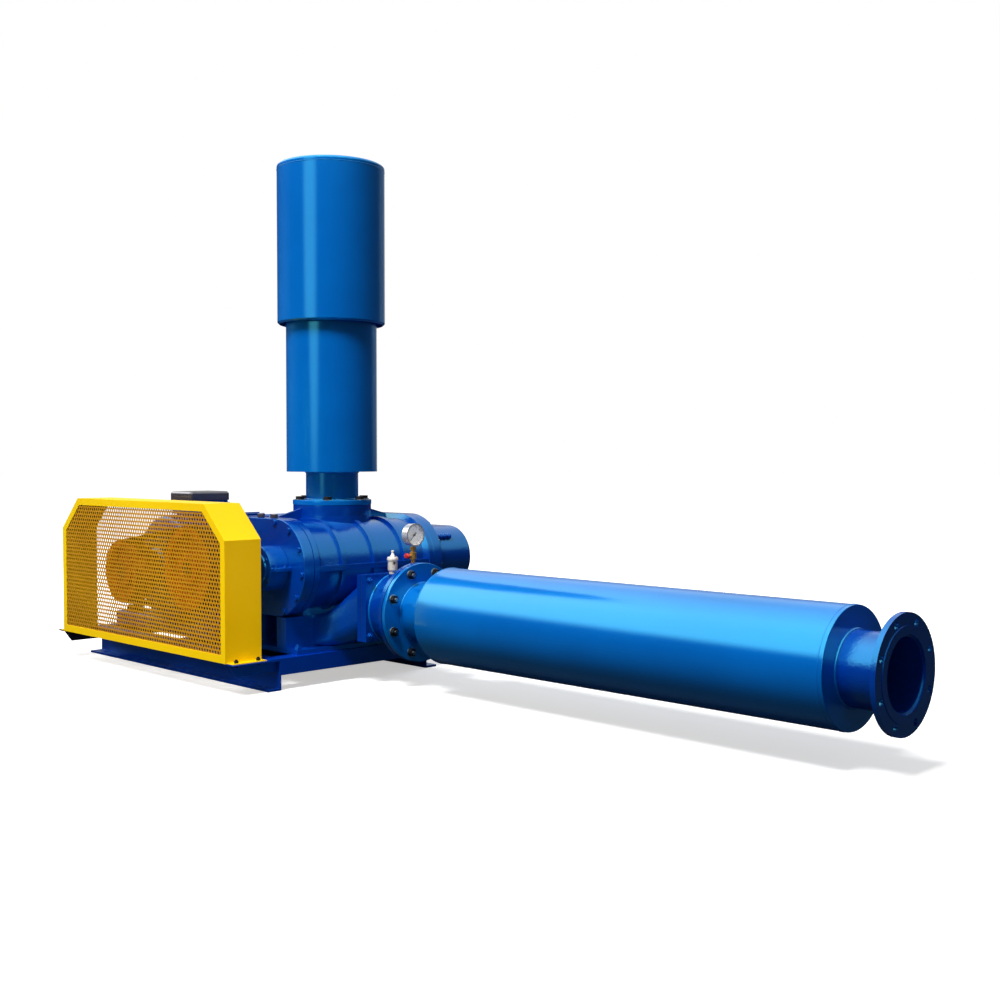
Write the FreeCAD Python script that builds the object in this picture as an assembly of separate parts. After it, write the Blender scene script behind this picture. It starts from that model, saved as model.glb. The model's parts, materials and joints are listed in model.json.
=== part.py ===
import FreeCAD, Part
import math
import os

# Three-lobe Roots blower set on a welded base, belt driven, with an upright intake
# silencer and a long lying discharge silencer. Millimetres, +Z up.
# X runs along the discharge pipe, Y along the rotor shafts away from the belt side.
# The origin is the centre of the four anchor holes, at floor level.

# Base frame of channels and angles
base_length = 1383.0
base_depth = 838.0
channel_height = 120.0
channel_flange = 53.0
channel_web = 6.0
channel_lip = 9.0
angle_leg = 63.0
angle_wall = 6.0
beam_height = 100.0
beam_flange = 48.0
beam_wall = 6.0
middle_beam_x = -60.0
anchor_hole_radius = 9.0
anchor_inset = 91.5

# Rotors and casing
rotor_spacing = 200.0
blower_inset = 251.0
rotor_axis_z = 447.0
casing_middle_y = 72.0
casing_length = 606.0
rotor_inset = 0.3
bore_clearance = 0.5
end_clearance = 0.4
casing_wall = 37.0
rib_height = 11.0
rib_width = 20.0
rib_pitch = 157.0
plate_radius = 189.0
plate_thickness = 48.0
casing_flange_width = 44.0
casing_flange_slope = 20.0
side_rib_width = 20.0
side_rib_reach = 4.0
intake_drum_radius = 157.0
intake_drum_flare = 6.0
intake_face_z = 680.0
port_radius = 103.5
gusset_width = 14.0
saddle_width = 301.0
saddle_face_z = 256.0
outlet_port_length = 184.0
outlet_port_depth = 224.0

# Bearing housings, gear case and shafts
bearing_radius = 55.0
bearing_width = 35.0
bearing_running_gap = 0.05
seal_width = 8.0
shaft_radius = 32.0
shaft_end_radius = 25.0
gear_seat_radius = 28.0
housing_radius = 88.0
housing_length = 84.0
housing_cap = 18.0
split_flange_width = 16.0
split_flange_reach = 20.0
gear_teeth = 32
gear_width = 50.0
gear_backlash = 1.0
gear_case_radius = 130.0
gear_case_length = 220.0
gear_case_wall = 9.0
gear_case_flange = 152.0
gear_case_flange_width = 16.0
gear_case_filler = 120.0
plate_bolt_size = 19.0
filler_radius = 15.0
filler_offset = 70.0
sight_glass_radius = 14.0
sight_glass_offset = 66.0

# Discharge casting under the blower
foot_length = 466.0
foot_back_inset = 2.0
foot_front_reach = 42.0
foot_thickness = 18.0
foot_right_inset = 18.5
side_wall_width = 62.0
side_wall_inset = 73.0
foot_bolt_inset_x = 19.6
foot_bolt_inset_y = 14.7
foot_bolt_radius = 8.0
bolt_hole_gap = 1.0
chamber_depth = 404.0
chamber_cavity_depth = 234.0
chamber_wall = 8.0
horn_depth = 444.0
horn_end_inset = 9.0
throat_size = 190.0
discharge_reach = 380.5
square_flange_depth = 306.0
square_flange_height = 256.0
square_flange_z = 296.0
square_flange_thickness = 25.0

# Discharge branch, silencer and its flanges
pipe_axis_z = 283.0
branch_pipe_radius = 138.0
neck_pipe_radius = 113.0
branch_pipe_wall = 8.0
round_flange_reach = 160.0
round_flange_radius = 188.0
round_flange_thickness = 18.5
round_flange_pitch_radius = 158.0
round_flange_bolts = 8
flange_bolt_hole = 11.0
gasket_thickness = 2.0
silencer_offset = 170.0
silencer_length = 1661.0
silencer_radius = 178.5
silencer_wall = 4.0
silencer_disc = 6.0
core_radius = 103.2
core_wall = 3.0
outlet_pipe_radius = 109.5
outlet_pipe_wall = 6.0
outlet_reach = 153.5
outlet_flange_radius = 170.0
outlet_flange_thickness = 26.0
outlet_pitch_radius = 147.5
outlet_bolts = 8

# Intake silencer
intake_flange_radius = 160.0
intake_flange_thickness = 20.0
intake_pitch_radius = 140.0
intake_bolts = 6
intake_pipe_radius = 106.5
intake_pipe_wall = 6.0
intake_body_radius = 184.0
intake_body_bottom_z = 815.0
intake_body_top_z = 1500.0
intake_hood_radius = 218.0
intake_hood_bottom_z = 1412.0
intake_top_z = 2055.0
intake_sheet = 3.0
intake_lid_height = 20.0
hood_lip = 8.0
lug_gap = 0.3

# Belt drive
belt_count = 4
belt_pitch = 19.0
groove_edge = 12.5
groove_depth = 15.0
groove_top_width = 16.6
groove_angle = 19.0
belt_height = 12.2
belt_proud = 1.2
belt_gap = 0.4
motor_pulley_radius = 128.5
blower_pulley_radius = 161.0
pulley_guard_gap = 33.0
pulley_rim = 14.0
pulley_web = 22.0
pulley_hub_radius = 58.0
pulley_web_inset = 30.0
pulley_hub_inset = 8.0

# Motor
motor_offset = 611.0
motor_shaft_height = 225.0
motor_foot_half_span = 178.0
motor_foot_front_y = -261.0
motor_foot_pitch = 311.0
frame_front_y = -330.0
frame_back_y = 130.0
frame_radius = 197.0
fin_radius = 225.0
fin_width = 5.0
fin_count = 36
frame_bore = 170.0
stator_bore = 110.0
air_gap = 1.0
motor_shaft_radius = 30.0
motor_journal_radius = 32.5
motor_body_radius = 42.0
motor_bearing_radius = 60.0
motor_bearing_width = 30.0
fan_cover_radius = 214.0
fan_cover_end_y = 295.0
fan_cover_sheet = 2.0
fan_slot_start = 52.0
fan_slot_end = 168.0
fan_radius = 165.0
fan_hub_radius = 46.0
fan_hub_length = 44.0
fan_blades = 8
shield_rim_radius = 205.0
shield_shoulder_radius = 90.0
shield_nose_radius = 80.0
shield_nose_length = 75.0
shield_seat_depth = 62.0
terminal_box_half_x = 85.0
terminal_box_half_y = 98.0
terminal_box_middle_y = -173.0
terminal_box_top_z = 728.0
terminal_box_low_z = 632.0
terminal_lid_low_z = 690.0

# Motor rails and their jack screws
rail_height = 60.0
rail_width = 80.0
rail_left_inset = 14.5
rail_foot_gap = 57.0
rail_wall = 10.0
rail_slot = 20.0
jack_block_offset = 117.0

# Belt guard
guard_left_inset = 76.0
guard_right_inset = 35.0
guard_base_gap = 5.0
guard_depth = 157.0
guard_top_z = 700.0
guard_corner_run = 140.0
guard_corner_drop = 131.0
guard_sheet = 2.5
guard_border = 29.0
guard_foot_lip = 40.0
guard_bracket_leg = 50.0
guard_bracket_wall = 5.0
guard_bolt_radius = 5.0
mesh_sheet = 1.5
mesh_pitch = 54.0
mesh_hole_radius = 20.0

# Gauge and relief valve on the branch pipe
valve_offset = 75.0
valve_y = 11.0
valve_seat_z = 427.0
valve_radius = 22.0
valve_height = 65.0
valve_disc_rise = 28.0
gauge_offset = 123.0
gauge_axis_z = 576.0
gauge_radius = 44.0
gauge_depth = 34.0
gauge_wall = 5.0
cock_bottom_z = 434.0
cock_axis_z = 496.0
cock_stem_radius = 8.0
pointer_zero_angle = 135.0
valve_seat_gap = 0.3

# Sizes worked out from the driving ones
web_y = base_depth / 2 - channel_flange
web_inner_y = web_y - channel_web
base_half = base_length / 2
blower_x = base_half - blower_inset
drive_axis_x = blower_x - rotor_spacing / 2
driven_axis_x = blower_x + rotor_spacing / 2
pitch_radius = rotor_spacing / 2
lobe_height = pitch_radius / 3
bore_radius = pitch_radius + lobe_height + bore_clearance
casing_radius = bore_radius + casing_wall
casing_front_y = casing_middle_y - casing_length / 2
casing_back_y = casing_middle_y + casing_length / 2
front_plate_y = casing_front_y - plate_thickness
back_plate_y = casing_back_y + plate_thickness
motor_x = blower_x - motor_offset
motor_z = channel_height + rail_height + motor_shaft_height
rail_left_x = -base_half + rail_left_inset
jack_block_x = rail_left_x + jack_block_offset
guard_left_x = -base_half + guard_left_inset
guard_right_x = base_half - guard_right_inset
guard_back_y = -base_depth / 2 - guard_base_gap
guard_front_y = guard_back_y - guard_depth
pulley_front_y = guard_front_y + pulley_guard_gap
pulley_width = 2 * groove_edge + (belt_count - 1) * belt_pitch
pulley_back_y = pulley_front_y + pulley_width
foot_top_z = channel_height + foot_thickness
foot_right_x = base_half - foot_right_inset
foot_left_x = foot_right_x - foot_length
foot_back_y = base_depth / 2 - foot_back_inset
foot_front_y = casing_front_y - foot_front_reach
rail_right_x = foot_left_x - rail_foot_gap
right_wall_x = foot_right_x - side_wall_inset
discharge_face_x = blower_x + discharge_reach
round_flange_face_x = discharge_face_x + round_flange_reach
silencer_start_x = round_flange_face_x + silencer_offset
silencer_end_x = silencer_start_x + silencer_length
outlet_face_x = silencer_end_x + outlet_reach
valve_x = discharge_face_x + valve_offset
gauge_x = discharge_face_x + gauge_offset
half_gasket = gasket_thickness / 2
os.makedirs("parts", exist_ok=True)


# Helpers for plain shapes

def vector(x, y, z):
    return FreeCAD.Vector(x, y, z)


def block(x, y, z):
    return Part.makeBox(x[1] - x[0], y[1] - y[0], z[1] - z[0], vector(x[0], y[0], z[0]))


def spread(middle, size):
    return middle - size / 2, middle + size / 2


def rod_x(radius, x, y, z):
    return Part.makeCylinder(radius, x[1] - x[0], vector(x[0], y, z), vector(1, 0, 0))


def rod_y(radius, x, y, z):
    return Part.makeCylinder(radius, y[1] - y[0], vector(x, y[0], z), vector(0, 1, 0))


def rod_z(radius, x, y, z):
    return Part.makeCylinder(radius, z[1] - z[0], vector(x, y, z[0]), vector(0, 0, 1))


def prism(points, along):
    wire = Part.makePolygon([vector(*p) for p in points] + [vector(*points[0])])
    return Part.Face(wire).extrude(vector(*along))


def join(shapes):
    return shapes[0].multiFuse(shapes[1:]).removeSplitter()


def turned_y(points, x, z):
    """points are (radius, y) pairs, turned about an axis along Y."""
    wire = Part.makePolygon([vector(x + r, y, z) for r, y in points + points[:1]])
    return Part.Face(wire).revolve(vector(x, 0, z), vector(0, 1, 0), 360)


def turned_x(points, y, z):
    wire = Part.makePolygon([vector(x, y, z + r) for r, x in points + points[:1]])
    return Part.Face(wire).revolve(vector(0, y, z), vector(1, 0, 0), 360)


def turned_z(points, x, y):
    wire = Part.makePolygon([vector(x + r, y, z) for r, z in points + points[:1]])
    return Part.Face(wire).revolve(vector(x, y, 0), vector(0, 0, 1), 360)


def oval(radius, y):
    """A plate of the casing's outline: two round ends about the rotor axes."""
    top = rotor_axis_z + radius
    bottom = rotor_axis_z - radius
    left = Part.Arc(vector(drive_axis_x, y[0], top), vector(drive_axis_x - radius, y[0], rotor_axis_z),
                    vector(drive_axis_x, y[0], bottom)).toShape()
    right = Part.Arc(vector(driven_axis_x, y[0], bottom), vector(driven_axis_x + radius, y[0], rotor_axis_z),
                     vector(driven_axis_x, y[0], top)).toShape()
    low = Part.makeLine(vector(drive_axis_x, y[0], bottom), vector(driven_axis_x, y[0], bottom))
    high = Part.makeLine(vector(driven_axis_x, y[0], top), vector(drive_axis_x, y[0], top))
    return Part.Face(Part.Wire([left, low, right, high])).extrude(vector(0, y[1] - y[0], 0))


def hexagon(radius, centre, axis, height):
    """A hexagon head or nut: a six-sided prism of the given corner radius."""
    points = []
    for step in range(6):
        u = radius * math.cos(math.radians(60 * step + 30))
        v = radius * math.sin(math.radians(60 * step + 30))
        place = {"x": (0, u, v), "y": (u, 0, v), "z": (u, v, 0)}[axis]
        points.append(tuple(c + p for c, p in zip(centre, place)))
    along = {"x": (height, 0, 0), "y": (0, height, 0), "z": (0, 0, height)}[axis]
    return prism(points, along)


def ring_places(count, radius, turn):
    return [(radius * math.cos(math.radians(turn + 360.0 * k / count)),
             radius * math.sin(math.radians(turn + 360.0 * k / count))) for k in range(count)]


def save(name, solids):
    shape = solids if isinstance(solids, Part.Shape) else Part.makeCompound(solids)
    shape.exportStep("parts/" + name + ".step")


# Base frame

def channel(side):
    """A rolled channel along X; side is -1 at the belt side and 1 at the back."""
    tip = side * base_depth / 2
    web = side * web_inner_y
    outer = side * web_y
    section = [(web, 0), (tip, 0), (tip, channel_lip), (outer, channel_lip),
               (outer, channel_height - channel_lip), (tip, channel_height - channel_lip),
               (tip, channel_height), (web, channel_height)]
    shape = prism([(-base_half, y, z) for y, z in section], (base_length, 0, 0))
    for x in (-base_half + anchor_inset, base_half - anchor_inset):
        hole_y = side * (base_depth / 2 - channel_flange / 2)
        shape = shape.cut(rod_z(anchor_hole_radius, x, hole_y, (-1, channel_lip + 1)))
    return shape.cut(foot_bolt_holes())


def side_angle(side):
    edge = side * base_half
    wall = edge - side * angle_wall
    leg = edge - side * angle_leg
    top = channel_height
    section = [(edge, top), (edge, top - angle_leg), (wall, top - angle_leg),
               (wall, top - angle_wall), (leg, top - angle_wall), (leg, top)]
    leg = prism([(x, -web_inner_y, z) for x, z in section], (0, 2 * web_inner_y, 0))
    return leg.cut(foot_bolt_holes())


def cross_beam(x):
    low = channel_height - beam_height
    top = channel_height
    section = [(x, low), (x + beam_flange, low), (x + beam_flange, low + beam_wall),
               (x + beam_wall, low + beam_wall), (x + beam_wall, top - beam_wall),
               (x + beam_flange, top - beam_wall), (x + beam_flange, top), (x, top)]
    beam = prism([(u, -web_inner_y, z) for u, z in section], (0, 2 * web_inner_y, 0))
    return beam.cut(foot_bolt_holes())


def guard_bracket(side, inner_x):
    """An angle coped into the front channel, its front end cut slanting."""
    wall = guard_bracket_wall
    top = channel_height
    low = top - guard_bracket_leg
    under_lip = top - channel_lip
    front_y = guard_front_y + 7
    x = sorted((inner_x, inner_x + side * wall))
    leg_x = sorted((inner_x, inner_x + side * guard_bracket_leg))
    tip_y = -base_depth / 2
    upright = [(front_y, top), (front_y + 36, low), (-web_y, low), (-web_y, under_lip),
               (tip_y, under_lip), (tip_y, top)]
    side_plate = prism([(x[0], y, z) for y, z in upright], (wall, 0, 0))
    shelf = block(leg_x, (front_y, tip_y), (top - wall, top))
    shape = join([side_plate, shelf])
    for y in guard_bolt_ys():
        shape = shape.cut(rod_z(guard_bolt_radius + 0.5, guard_bolt_x(side), y, (top - wall - 1, top + 1)))
    return shape


def guard_bolt_x(side):
    return guard_right_x + guard_foot_lip / 2 if side > 0 else guard_left_x - guard_foot_lip * 0.65


def guard_bolt_ys():
    return (guard_front_y + 34, guard_back_y - 28)


def bracket_x(side):
    return guard_right_x if side > 0 else guard_left_x - 12.5


# Motor rails with their T slot, and the jack screws that set the belt tension

def motor_rail(y):
    half = rail_width / 2
    low = channel_height
    top = low + rail_height
    shape = block((rail_left_x, rail_right_x), (y - half, y + half), (low, top))
    shape = shape.cut(block((rail_left_x + rail_wall, rail_right_x - rail_wall),
                            (y - half + rail_wall, y + half - rail_wall), (low - 1, top - rail_wall)))
    slot = block((rail_left_x + 2 * rail_wall, rail_right_x - 2 * rail_wall),
                 (y - rail_slot / 2, y + rail_slot / 2), (top - rail_wall - 1, top + 1))
    return shape.cut(slot)


def jack_screw(y):
    top = channel_height + rail_height
    screw_z = top + 16
    foot_edge = motor_x - motor_foot_half_span - 45
    jack = block((jack_block_x - 15, jack_block_x + 15), (y - 24, y + 24), (top, top + 34))
    screw = rod_x(8, (jack_block_x - 60, foot_edge), y, screw_z)
    head = hexagon(14, (jack_block_x - 72, y, screw_z), "x", 12)
    nut = hexagon(14, (jack_block_x + 15, y, screw_z), "x", 12)
    return join([jack, screw, head, nut])


def motor_foot_places():
    for side in (-1, 1):
        for y in (motor_foot_front_y, motor_foot_front_y + motor_foot_pitch):
            yield motor_x + side * motor_foot_half_span, y


def foot_bolt(x, y, under_z, seat_z, shank, corner):
    """A bolt with its nut on top; the head is hidden below under_z."""
    height = 1.6 * shank
    return join([hexagon(corner, (x, y, under_z - height), "z", height),
                 rod_z(shank, x, y, (under_z - height, seat_z + height + shank)),
                 hexagon(corner, (x, y, seat_z), "z", height)])


# Belt guard: a bent sheet with a bordered front and open back

def guard_outline(inset):
    run = guard_corner_run
    drop = guard_corner_drop
    slope = math.hypot(run, drop)
    shift_x = inset * (slope - drop) / run
    shift_z = inset * (slope - run) / drop
    left = guard_left_x + inset
    right = guard_right_x - inset
    top = guard_top_z - inset
    low_corner = guard_top_z - drop - shift_z
    return [(left, channel_height), (left, low_corner), (guard_left_x + run + shift_x, top),
            (guard_right_x - run - shift_x, top), (right, low_corner), (right, channel_height)]


def guard_shell():
    front = guard_front_y
    outside = prism([(x, front, z) for x, z in guard_outline(0)], (0, guard_depth, 0))
    inside = prism([(x, front + guard_sheet, z) for x, z in guard_outline(guard_sheet)],
                   (0, guard_depth, 0))
    window = prism([(x, front - 1, max(z, channel_height + guard_border))
                    for x, z in guard_outline(guard_border)], (0, guard_sheet + 2, 0))
    shape = outside.cut(inside).cut(window)
    for side, wall_x in ((-1, guard_left_x), (1, guard_right_x)):
        lip_x = sorted((wall_x - side * guard_sheet, wall_x + side * guard_foot_lip))
        lip = block(lip_x, (front + 7, guard_back_y - 2), (channel_height, channel_height + guard_sheet))
        shape = shape.fuse(lip)
        for y in guard_bolt_ys():
            hole = rod_z(guard_bolt_radius + 0.5, guard_bolt_x(side), y,
                         (channel_height - 1, channel_height + guard_sheet + 1))
            shape = shape.cut(hole)
    return shape.removeSplitter()


def guard_mesh():
    """Perforated sheet behind the border, drawn with three times the real hole pitch."""
    rim = guard_border - 12
    front = guard_front_y + guard_sheet
    points = [(x, front, max(z, channel_height + 12)) for x, z in guard_outline(rim)]
    row_pitch = mesh_pitch * math.sin(math.radians(60))
    middle = (guard_left_x + guard_right_x) / 2
    low = channel_height + guard_border
    rows = int((guard_top_z - low) / row_pitch)
    columns = int((guard_right_x - guard_left_x) / mesh_pitch / 2)
    sheet = Part.Face(Part.makePolygon([vector(*p) for p in points + points[:1]]))
    window = [(x, front, max(z, low)) for x, z in guard_outline(guard_border + 3)]
    clear = Part.Face(Part.makePolygon([vector(*p) for p in window + window[:1]]))
    holes = []
    for row in range(rows):
        z = low + row_pitch * (row + 0.5)
        shift = mesh_pitch / 2 if row % 2 else 0
        for column in range(-columns, columns + 1):
            x = middle + column * mesh_pitch + shift
            corners = [vector(x + u, front, z + v) for u, v in ring_places(6, mesh_hole_radius, 30)]
            if all(clear.isInside(c, 0.01, True) for c in corners):
                holes.append(Part.Face(Part.makePolygon(corners + corners[:1])))
    return sheet.cut(Part.makeCompound(holes)).extrude(vector(0, mesh_sheet, 0)).Solids[0]


# Motor

def motor_frame():
    shape = rod_y(frame_radius, motor_x, (frame_front_y, frame_back_y), motor_z)
    fins = []
    for number in range(fin_count):
        angle = 360.0 * number / fin_count
        fin = block((motor_x + frame_radius - 6, motor_x + fin_radius), (frame_front_y, frame_back_y),
                    (motor_z - fin_width / 2, motor_z + fin_width / 2))
        fin.rotate(vector(motor_x, 0, motor_z), vector(0, 1, 0), -angle)
        fins.append(fin)
    foot_front = motor_foot_front_y - 36
    foot_back = motor_foot_front_y + motor_foot_pitch + 36
    rail_top = channel_height + rail_height
    feet = []
    for side in (-1, 1):
        x = motor_x + side * motor_foot_half_span
        feet.append(block((x - 45, x + 45), (foot_front, foot_back), (rail_top, rail_top + 20)))
        inner = sorted((motor_x + side * 118, motor_x + side * 158))
        feet.append(block(inner, (foot_front, foot_back), (rail_top + 10, motor_z - 60)))
    pedestal = block((motor_x - 62, motor_x + 62), (terminal_box_middle_y - 76, terminal_box_middle_y + 76),
                     (motor_z + frame_radius - 20, terminal_box_low_z))
    shape = join([shape] + fins + feet + [pedestal])
    shape = shape.cut(rod_y(frame_bore, motor_x, (frame_front_y - 1, frame_back_y + 1), motor_z))
    for x, y in motor_foot_places():
        shape = shape.cut(rod_z(10, x, y, (rail_top - 1, rail_top + 21)))
    return shape


def motor_drive_shield():
    seat_y = frame_front_y - shield_seat_depth
    nose_y = frame_front_y - shield_nose_length
    profile = [(motor_journal_radius + 1, nose_y), (shield_nose_radius, nose_y),
               (shield_shoulder_radius, nose_y + 23), (shield_rim_radius, frame_front_y - 22),
               (fin_radius - 6, frame_front_y - 12), (fin_radius - 6, frame_front_y),
               (frame_bore - 20, frame_front_y), (shield_shoulder_radius, frame_front_y - 14),
               (motor_bearing_radius, frame_front_y - 14),
               (motor_bearing_radius, seat_y), (motor_journal_radius + 1, seat_y)]
    return turned_y(profile, motor_x, motor_z)


def motor_rear_shield():
    back = frame_back_y + 35
    profile = [(motor_bearing_radius, frame_back_y - 8), (motor_bearing_radius, back - 8),
               (motor_shaft_radius + 1, back - 8), (motor_shaft_radius + 1, back),
               (shield_shoulder_radius, back),
               (fan_cover_radius - fan_cover_sheet - 0.3, back - 8),
               (fan_cover_radius - fan_cover_sheet - 0.3, frame_back_y),
               (shield_shoulder_radius, frame_back_y), (shield_shoulder_radius, frame_back_y - 8)]
    return turned_y(profile, motor_x, motor_z)


def motor_fan_cover():
    start = frame_back_y
    end = fan_cover_end_y
    r = fan_cover_radius
    t = fan_cover_sheet
    profile = [(r - t, start), (r, start), (r, end - 26), (r - 26, end), (30, end), (30, end - t),
               (r - 26 - t, end - t), (r - t, end - 26 - t)]
    shape = turned_y(profile, motor_x, motor_z)
    slots = []
    for number in range(16):
        slot = block((motor_x + fan_slot_start, motor_x + fan_slot_end), (end - 10, end + 10),
                     (motor_z - 8, motor_z + 8))
        slot.rotate(vector(motor_x, 0, motor_z), vector(0, 1, 0), 360.0 * number / 16)
        slots.append(slot)
    hub = rod_y(30, motor_x, (end - t, end), motor_z)
    return shape.fuse(hub).removeSplitter().cut(Part.makeCompound(slots))


def terminal_box():
    half_x = terminal_box_half_x - 5
    half_y = terminal_box_half_y - 5
    low = terminal_box_low_z
    top = terminal_lid_low_z
    y = terminal_box_middle_y
    shape = block((motor_x - half_x, motor_x + half_x), (y - half_y, y + half_y), (low, top))
    upright = [e for e in shape.Edges if e.tangentAt(0).z ** 2 > 0.9]
    shape = shape.makeFillet(12, upright)
    shape = shape.cut(block((motor_x - half_x + 6, motor_x + half_x - 6), (y - half_y + 6, y + half_y - 6),
                            (low + 6, top + 1)))
    for x in (motor_x - 34, motor_x + 34):
        shape = shape.cut(rod_y(16, x, (y + half_y - 7, y + half_y + 1), (low + top) / 2))
    return shape


def terminal_box_lid():
    low = terminal_lid_low_z
    y = terminal_box_middle_y
    shape = block((motor_x - terminal_box_half_x, motor_x + terminal_box_half_x),
                  (y - terminal_box_half_y, y + terminal_box_half_y), (low, terminal_box_top_z))
    shape = shape.makeFillet(16, [e for e in shape.Edges if e.tangentAt(0).z ** 2 > 0.9])
    rim = [e for e in shape.Edges if e.BoundBox.ZMin > terminal_box_top_z - 0.1]
    shape = shape.makeChamfer(8, rim)
    return shape.cut(block((motor_x - terminal_box_half_x + 12, motor_x + terminal_box_half_x - 12),
                           (y - terminal_box_half_y + 12, y + terminal_box_half_y - 12),
                           (low - 1, terminal_box_top_z - 8)))


def cable_gland(x):
    wall_y = terminal_box_middle_y + terminal_box_half_y - 5
    z = (terminal_box_low_z + terminal_lid_low_z) / 2
    return join([rod_y(15.7, x, (wall_y - 10, wall_y), z), hexagon(24, (x, wall_y, z), "y", 12),
                 rod_y(19, x, (wall_y + 12, wall_y + 30), z)])


def stator_core():
    front = frame_front_y + 90
    back = frame_back_y - 90
    profile = [(stator_bore, front), (stator_bore + 6, front - 50), (frame_bore - 12, front - 50),
               (frame_bore - 6, front), (frame_bore, front), (frame_bore, back), (frame_bore - 6, back),
               (frame_bore - 12, back + 50), (stator_bore + 6, back + 50), (stator_bore, back)]
    return turned_y(profile, motor_x, motor_z)


def bearing_ring(x, y, z, shaft, outer, width):
    profile = [(shaft + bearing_running_gap, y), (outer, y), (outer, y + width),
               (shaft + bearing_running_gap, y + width)]
    return turned_y(profile, x, z)


def motor_bearings():
    front = frame_front_y - shield_seat_depth
    back = frame_back_y + 27 - motor_bearing_width
    return [bearing_ring(motor_x, front, motor_z, motor_journal_radius, motor_bearing_radius,
                         motor_bearing_width),
            bearing_ring(motor_x, back, motor_z, motor_shaft_radius, motor_bearing_radius,
                         motor_bearing_width)]


def motor_rotor():
    core_front = frame_front_y + 90
    core_back = frame_back_y - 90
    core = stator_bore - air_gap
    profile = [(0, pulley_front_y - 2), (motor_shaft_radius, pulley_front_y - 2),
               (motor_shaft_radius, frame_front_y - 80), (motor_journal_radius, frame_front_y - 80),
               (motor_journal_radius, frame_front_y - 28), (motor_body_radius, frame_front_y - 28),
               (motor_body_radius, core_front), (core, core_front), (core, core_back),
               (motor_body_radius, core_back), (motor_body_radius, frame_back_y - 6),
               (motor_shaft_radius, frame_back_y - 6), (motor_shaft_radius, frame_back_y + 40),
               (24, frame_back_y + 40), (24, frame_back_y + 100), (0, frame_back_y + 100)]
    return turned_y(profile, motor_x, motor_z)


def motor_fan():
    front = frame_back_y + 48
    r = fan_hub_radius
    disc = fan_radius - 30
    end = front + fan_hub_length
    hub = turned_y([(24, front), (r, front), (r, front + 6), (disc, front + 6), (disc, front + 10),
                    (r, front + 10), (r, end), (24, end)], motor_x, motor_z)
    blades = []
    for number in range(fan_blades):
        blade = block((motor_x + r - 2, motor_x + fan_radius), (front + 8, end),
                      (motor_z - 3, motor_z + 3))
        blade.rotate(vector(motor_x, 0, motor_z), vector(0, 1, 0), 360.0 * number / fan_blades)
        blades.append(blade)
    return join([hub] + blades)


# Belt drive

def groove_middles():
    return [pulley_front_y + groove_edge + k * belt_pitch for k in range(belt_count)]


def pulley(x, z, radius, bore):
    half_top = groove_top_width / 2
    half_low = half_top - groove_depth * math.tan(math.radians(groove_angle))
    inner_rim = radius - groove_depth - pulley_rim
    web_front = pulley_front_y + pulley_web_inset
    web_back = web_front + pulley_web
    hub_front = pulley_front_y + pulley_hub_inset
    profile = [(bore, hub_front), (pulley_hub_radius, hub_front), (pulley_hub_radius, web_front),
               (inner_rim, web_front), (inner_rim, pulley_front_y), (radius, pulley_front_y)]
    for y in groove_middles():
        profile += [(radius, y - half_top), (radius - groove_depth, y - half_low),
                    (radius - groove_depth, y + half_low), (radius, y + half_top)]
    profile += [(radius, pulley_back_y), (inner_rim, pulley_back_y), (inner_rim, web_back),
                (pulley_hub_radius, web_back), (pulley_hub_radius, pulley_back_y), (bore, pulley_back_y)]
    return turned_y(profile, x, z)


def belt(y):
    """An open V belt about both pulleys: straight runs joined by arcs."""
    run_x = drive_axis_x - motor_x
    run_z = rotor_axis_z - motor_z
    distance = math.hypot(run_x, run_z)
    small = motor_pulley_radius + belt_proud
    large = blower_pulley_radius + belt_proud
    tilt = math.atan2(run_z, run_x)
    lean = math.asin((large - small) / distance)
    up = tilt + math.pi / 2 + lean
    down = tilt - math.pi / 2 - lean

    def rim(cx, cz, radius, angle):
        return vector(cx + radius * math.cos(angle), y, cz + radius * math.sin(angle))

    left_high = rim(motor_x, motor_z, small, up)
    left_low = rim(motor_x, motor_z, small, down)
    right_high = rim(drive_axis_x, rotor_axis_z, large, up)
    right_low = rim(drive_axis_x, rotor_axis_z, large, down)
    path = Part.Wire([
        Part.makeLine(left_high, right_high),
        Part.Arc(right_high, rim(drive_axis_x, rotor_axis_z, large, tilt), right_low).toShape(),
        Part.makeLine(right_low, left_low),
        Part.Arc(left_low, rim(motor_x, motor_z, small, tilt + math.pi), left_high).toShape()])
    groove_half = groove_top_width / 2
    slope = math.tan(math.radians(groove_angle))
    half_top = groove_half - belt_gap
    half_low = half_top - (belt_height - belt_proud) * slope
    inward = vector(-math.cos(up), 0, -math.sin(up))
    corners = []
    for half, depth in ((half_top, 0), (half_low, belt_height), (-half_low, belt_height), (-half_top, 0)):
        corner = left_high + inward * depth
        corners.append(vector(corner.x, y + half, corner.z))
    profile = Part.makePolygon(corners + corners[:1])
    return path.makePipeShell([profile], True, False)


# Blower casing and plates

def casing_flange(y, edge_y):
    """An end flange of the casing that slopes down to the body at edge_y."""
    shape = oval(plate_radius, y)
    rim = [e for e in shape.Edges if abs(e.BoundBox.YMin - edge_y) + abs(e.BoundBox.YMax - edge_y) < 0.1]
    return shape.makeChamfer(casing_flange_slope, rim)


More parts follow.
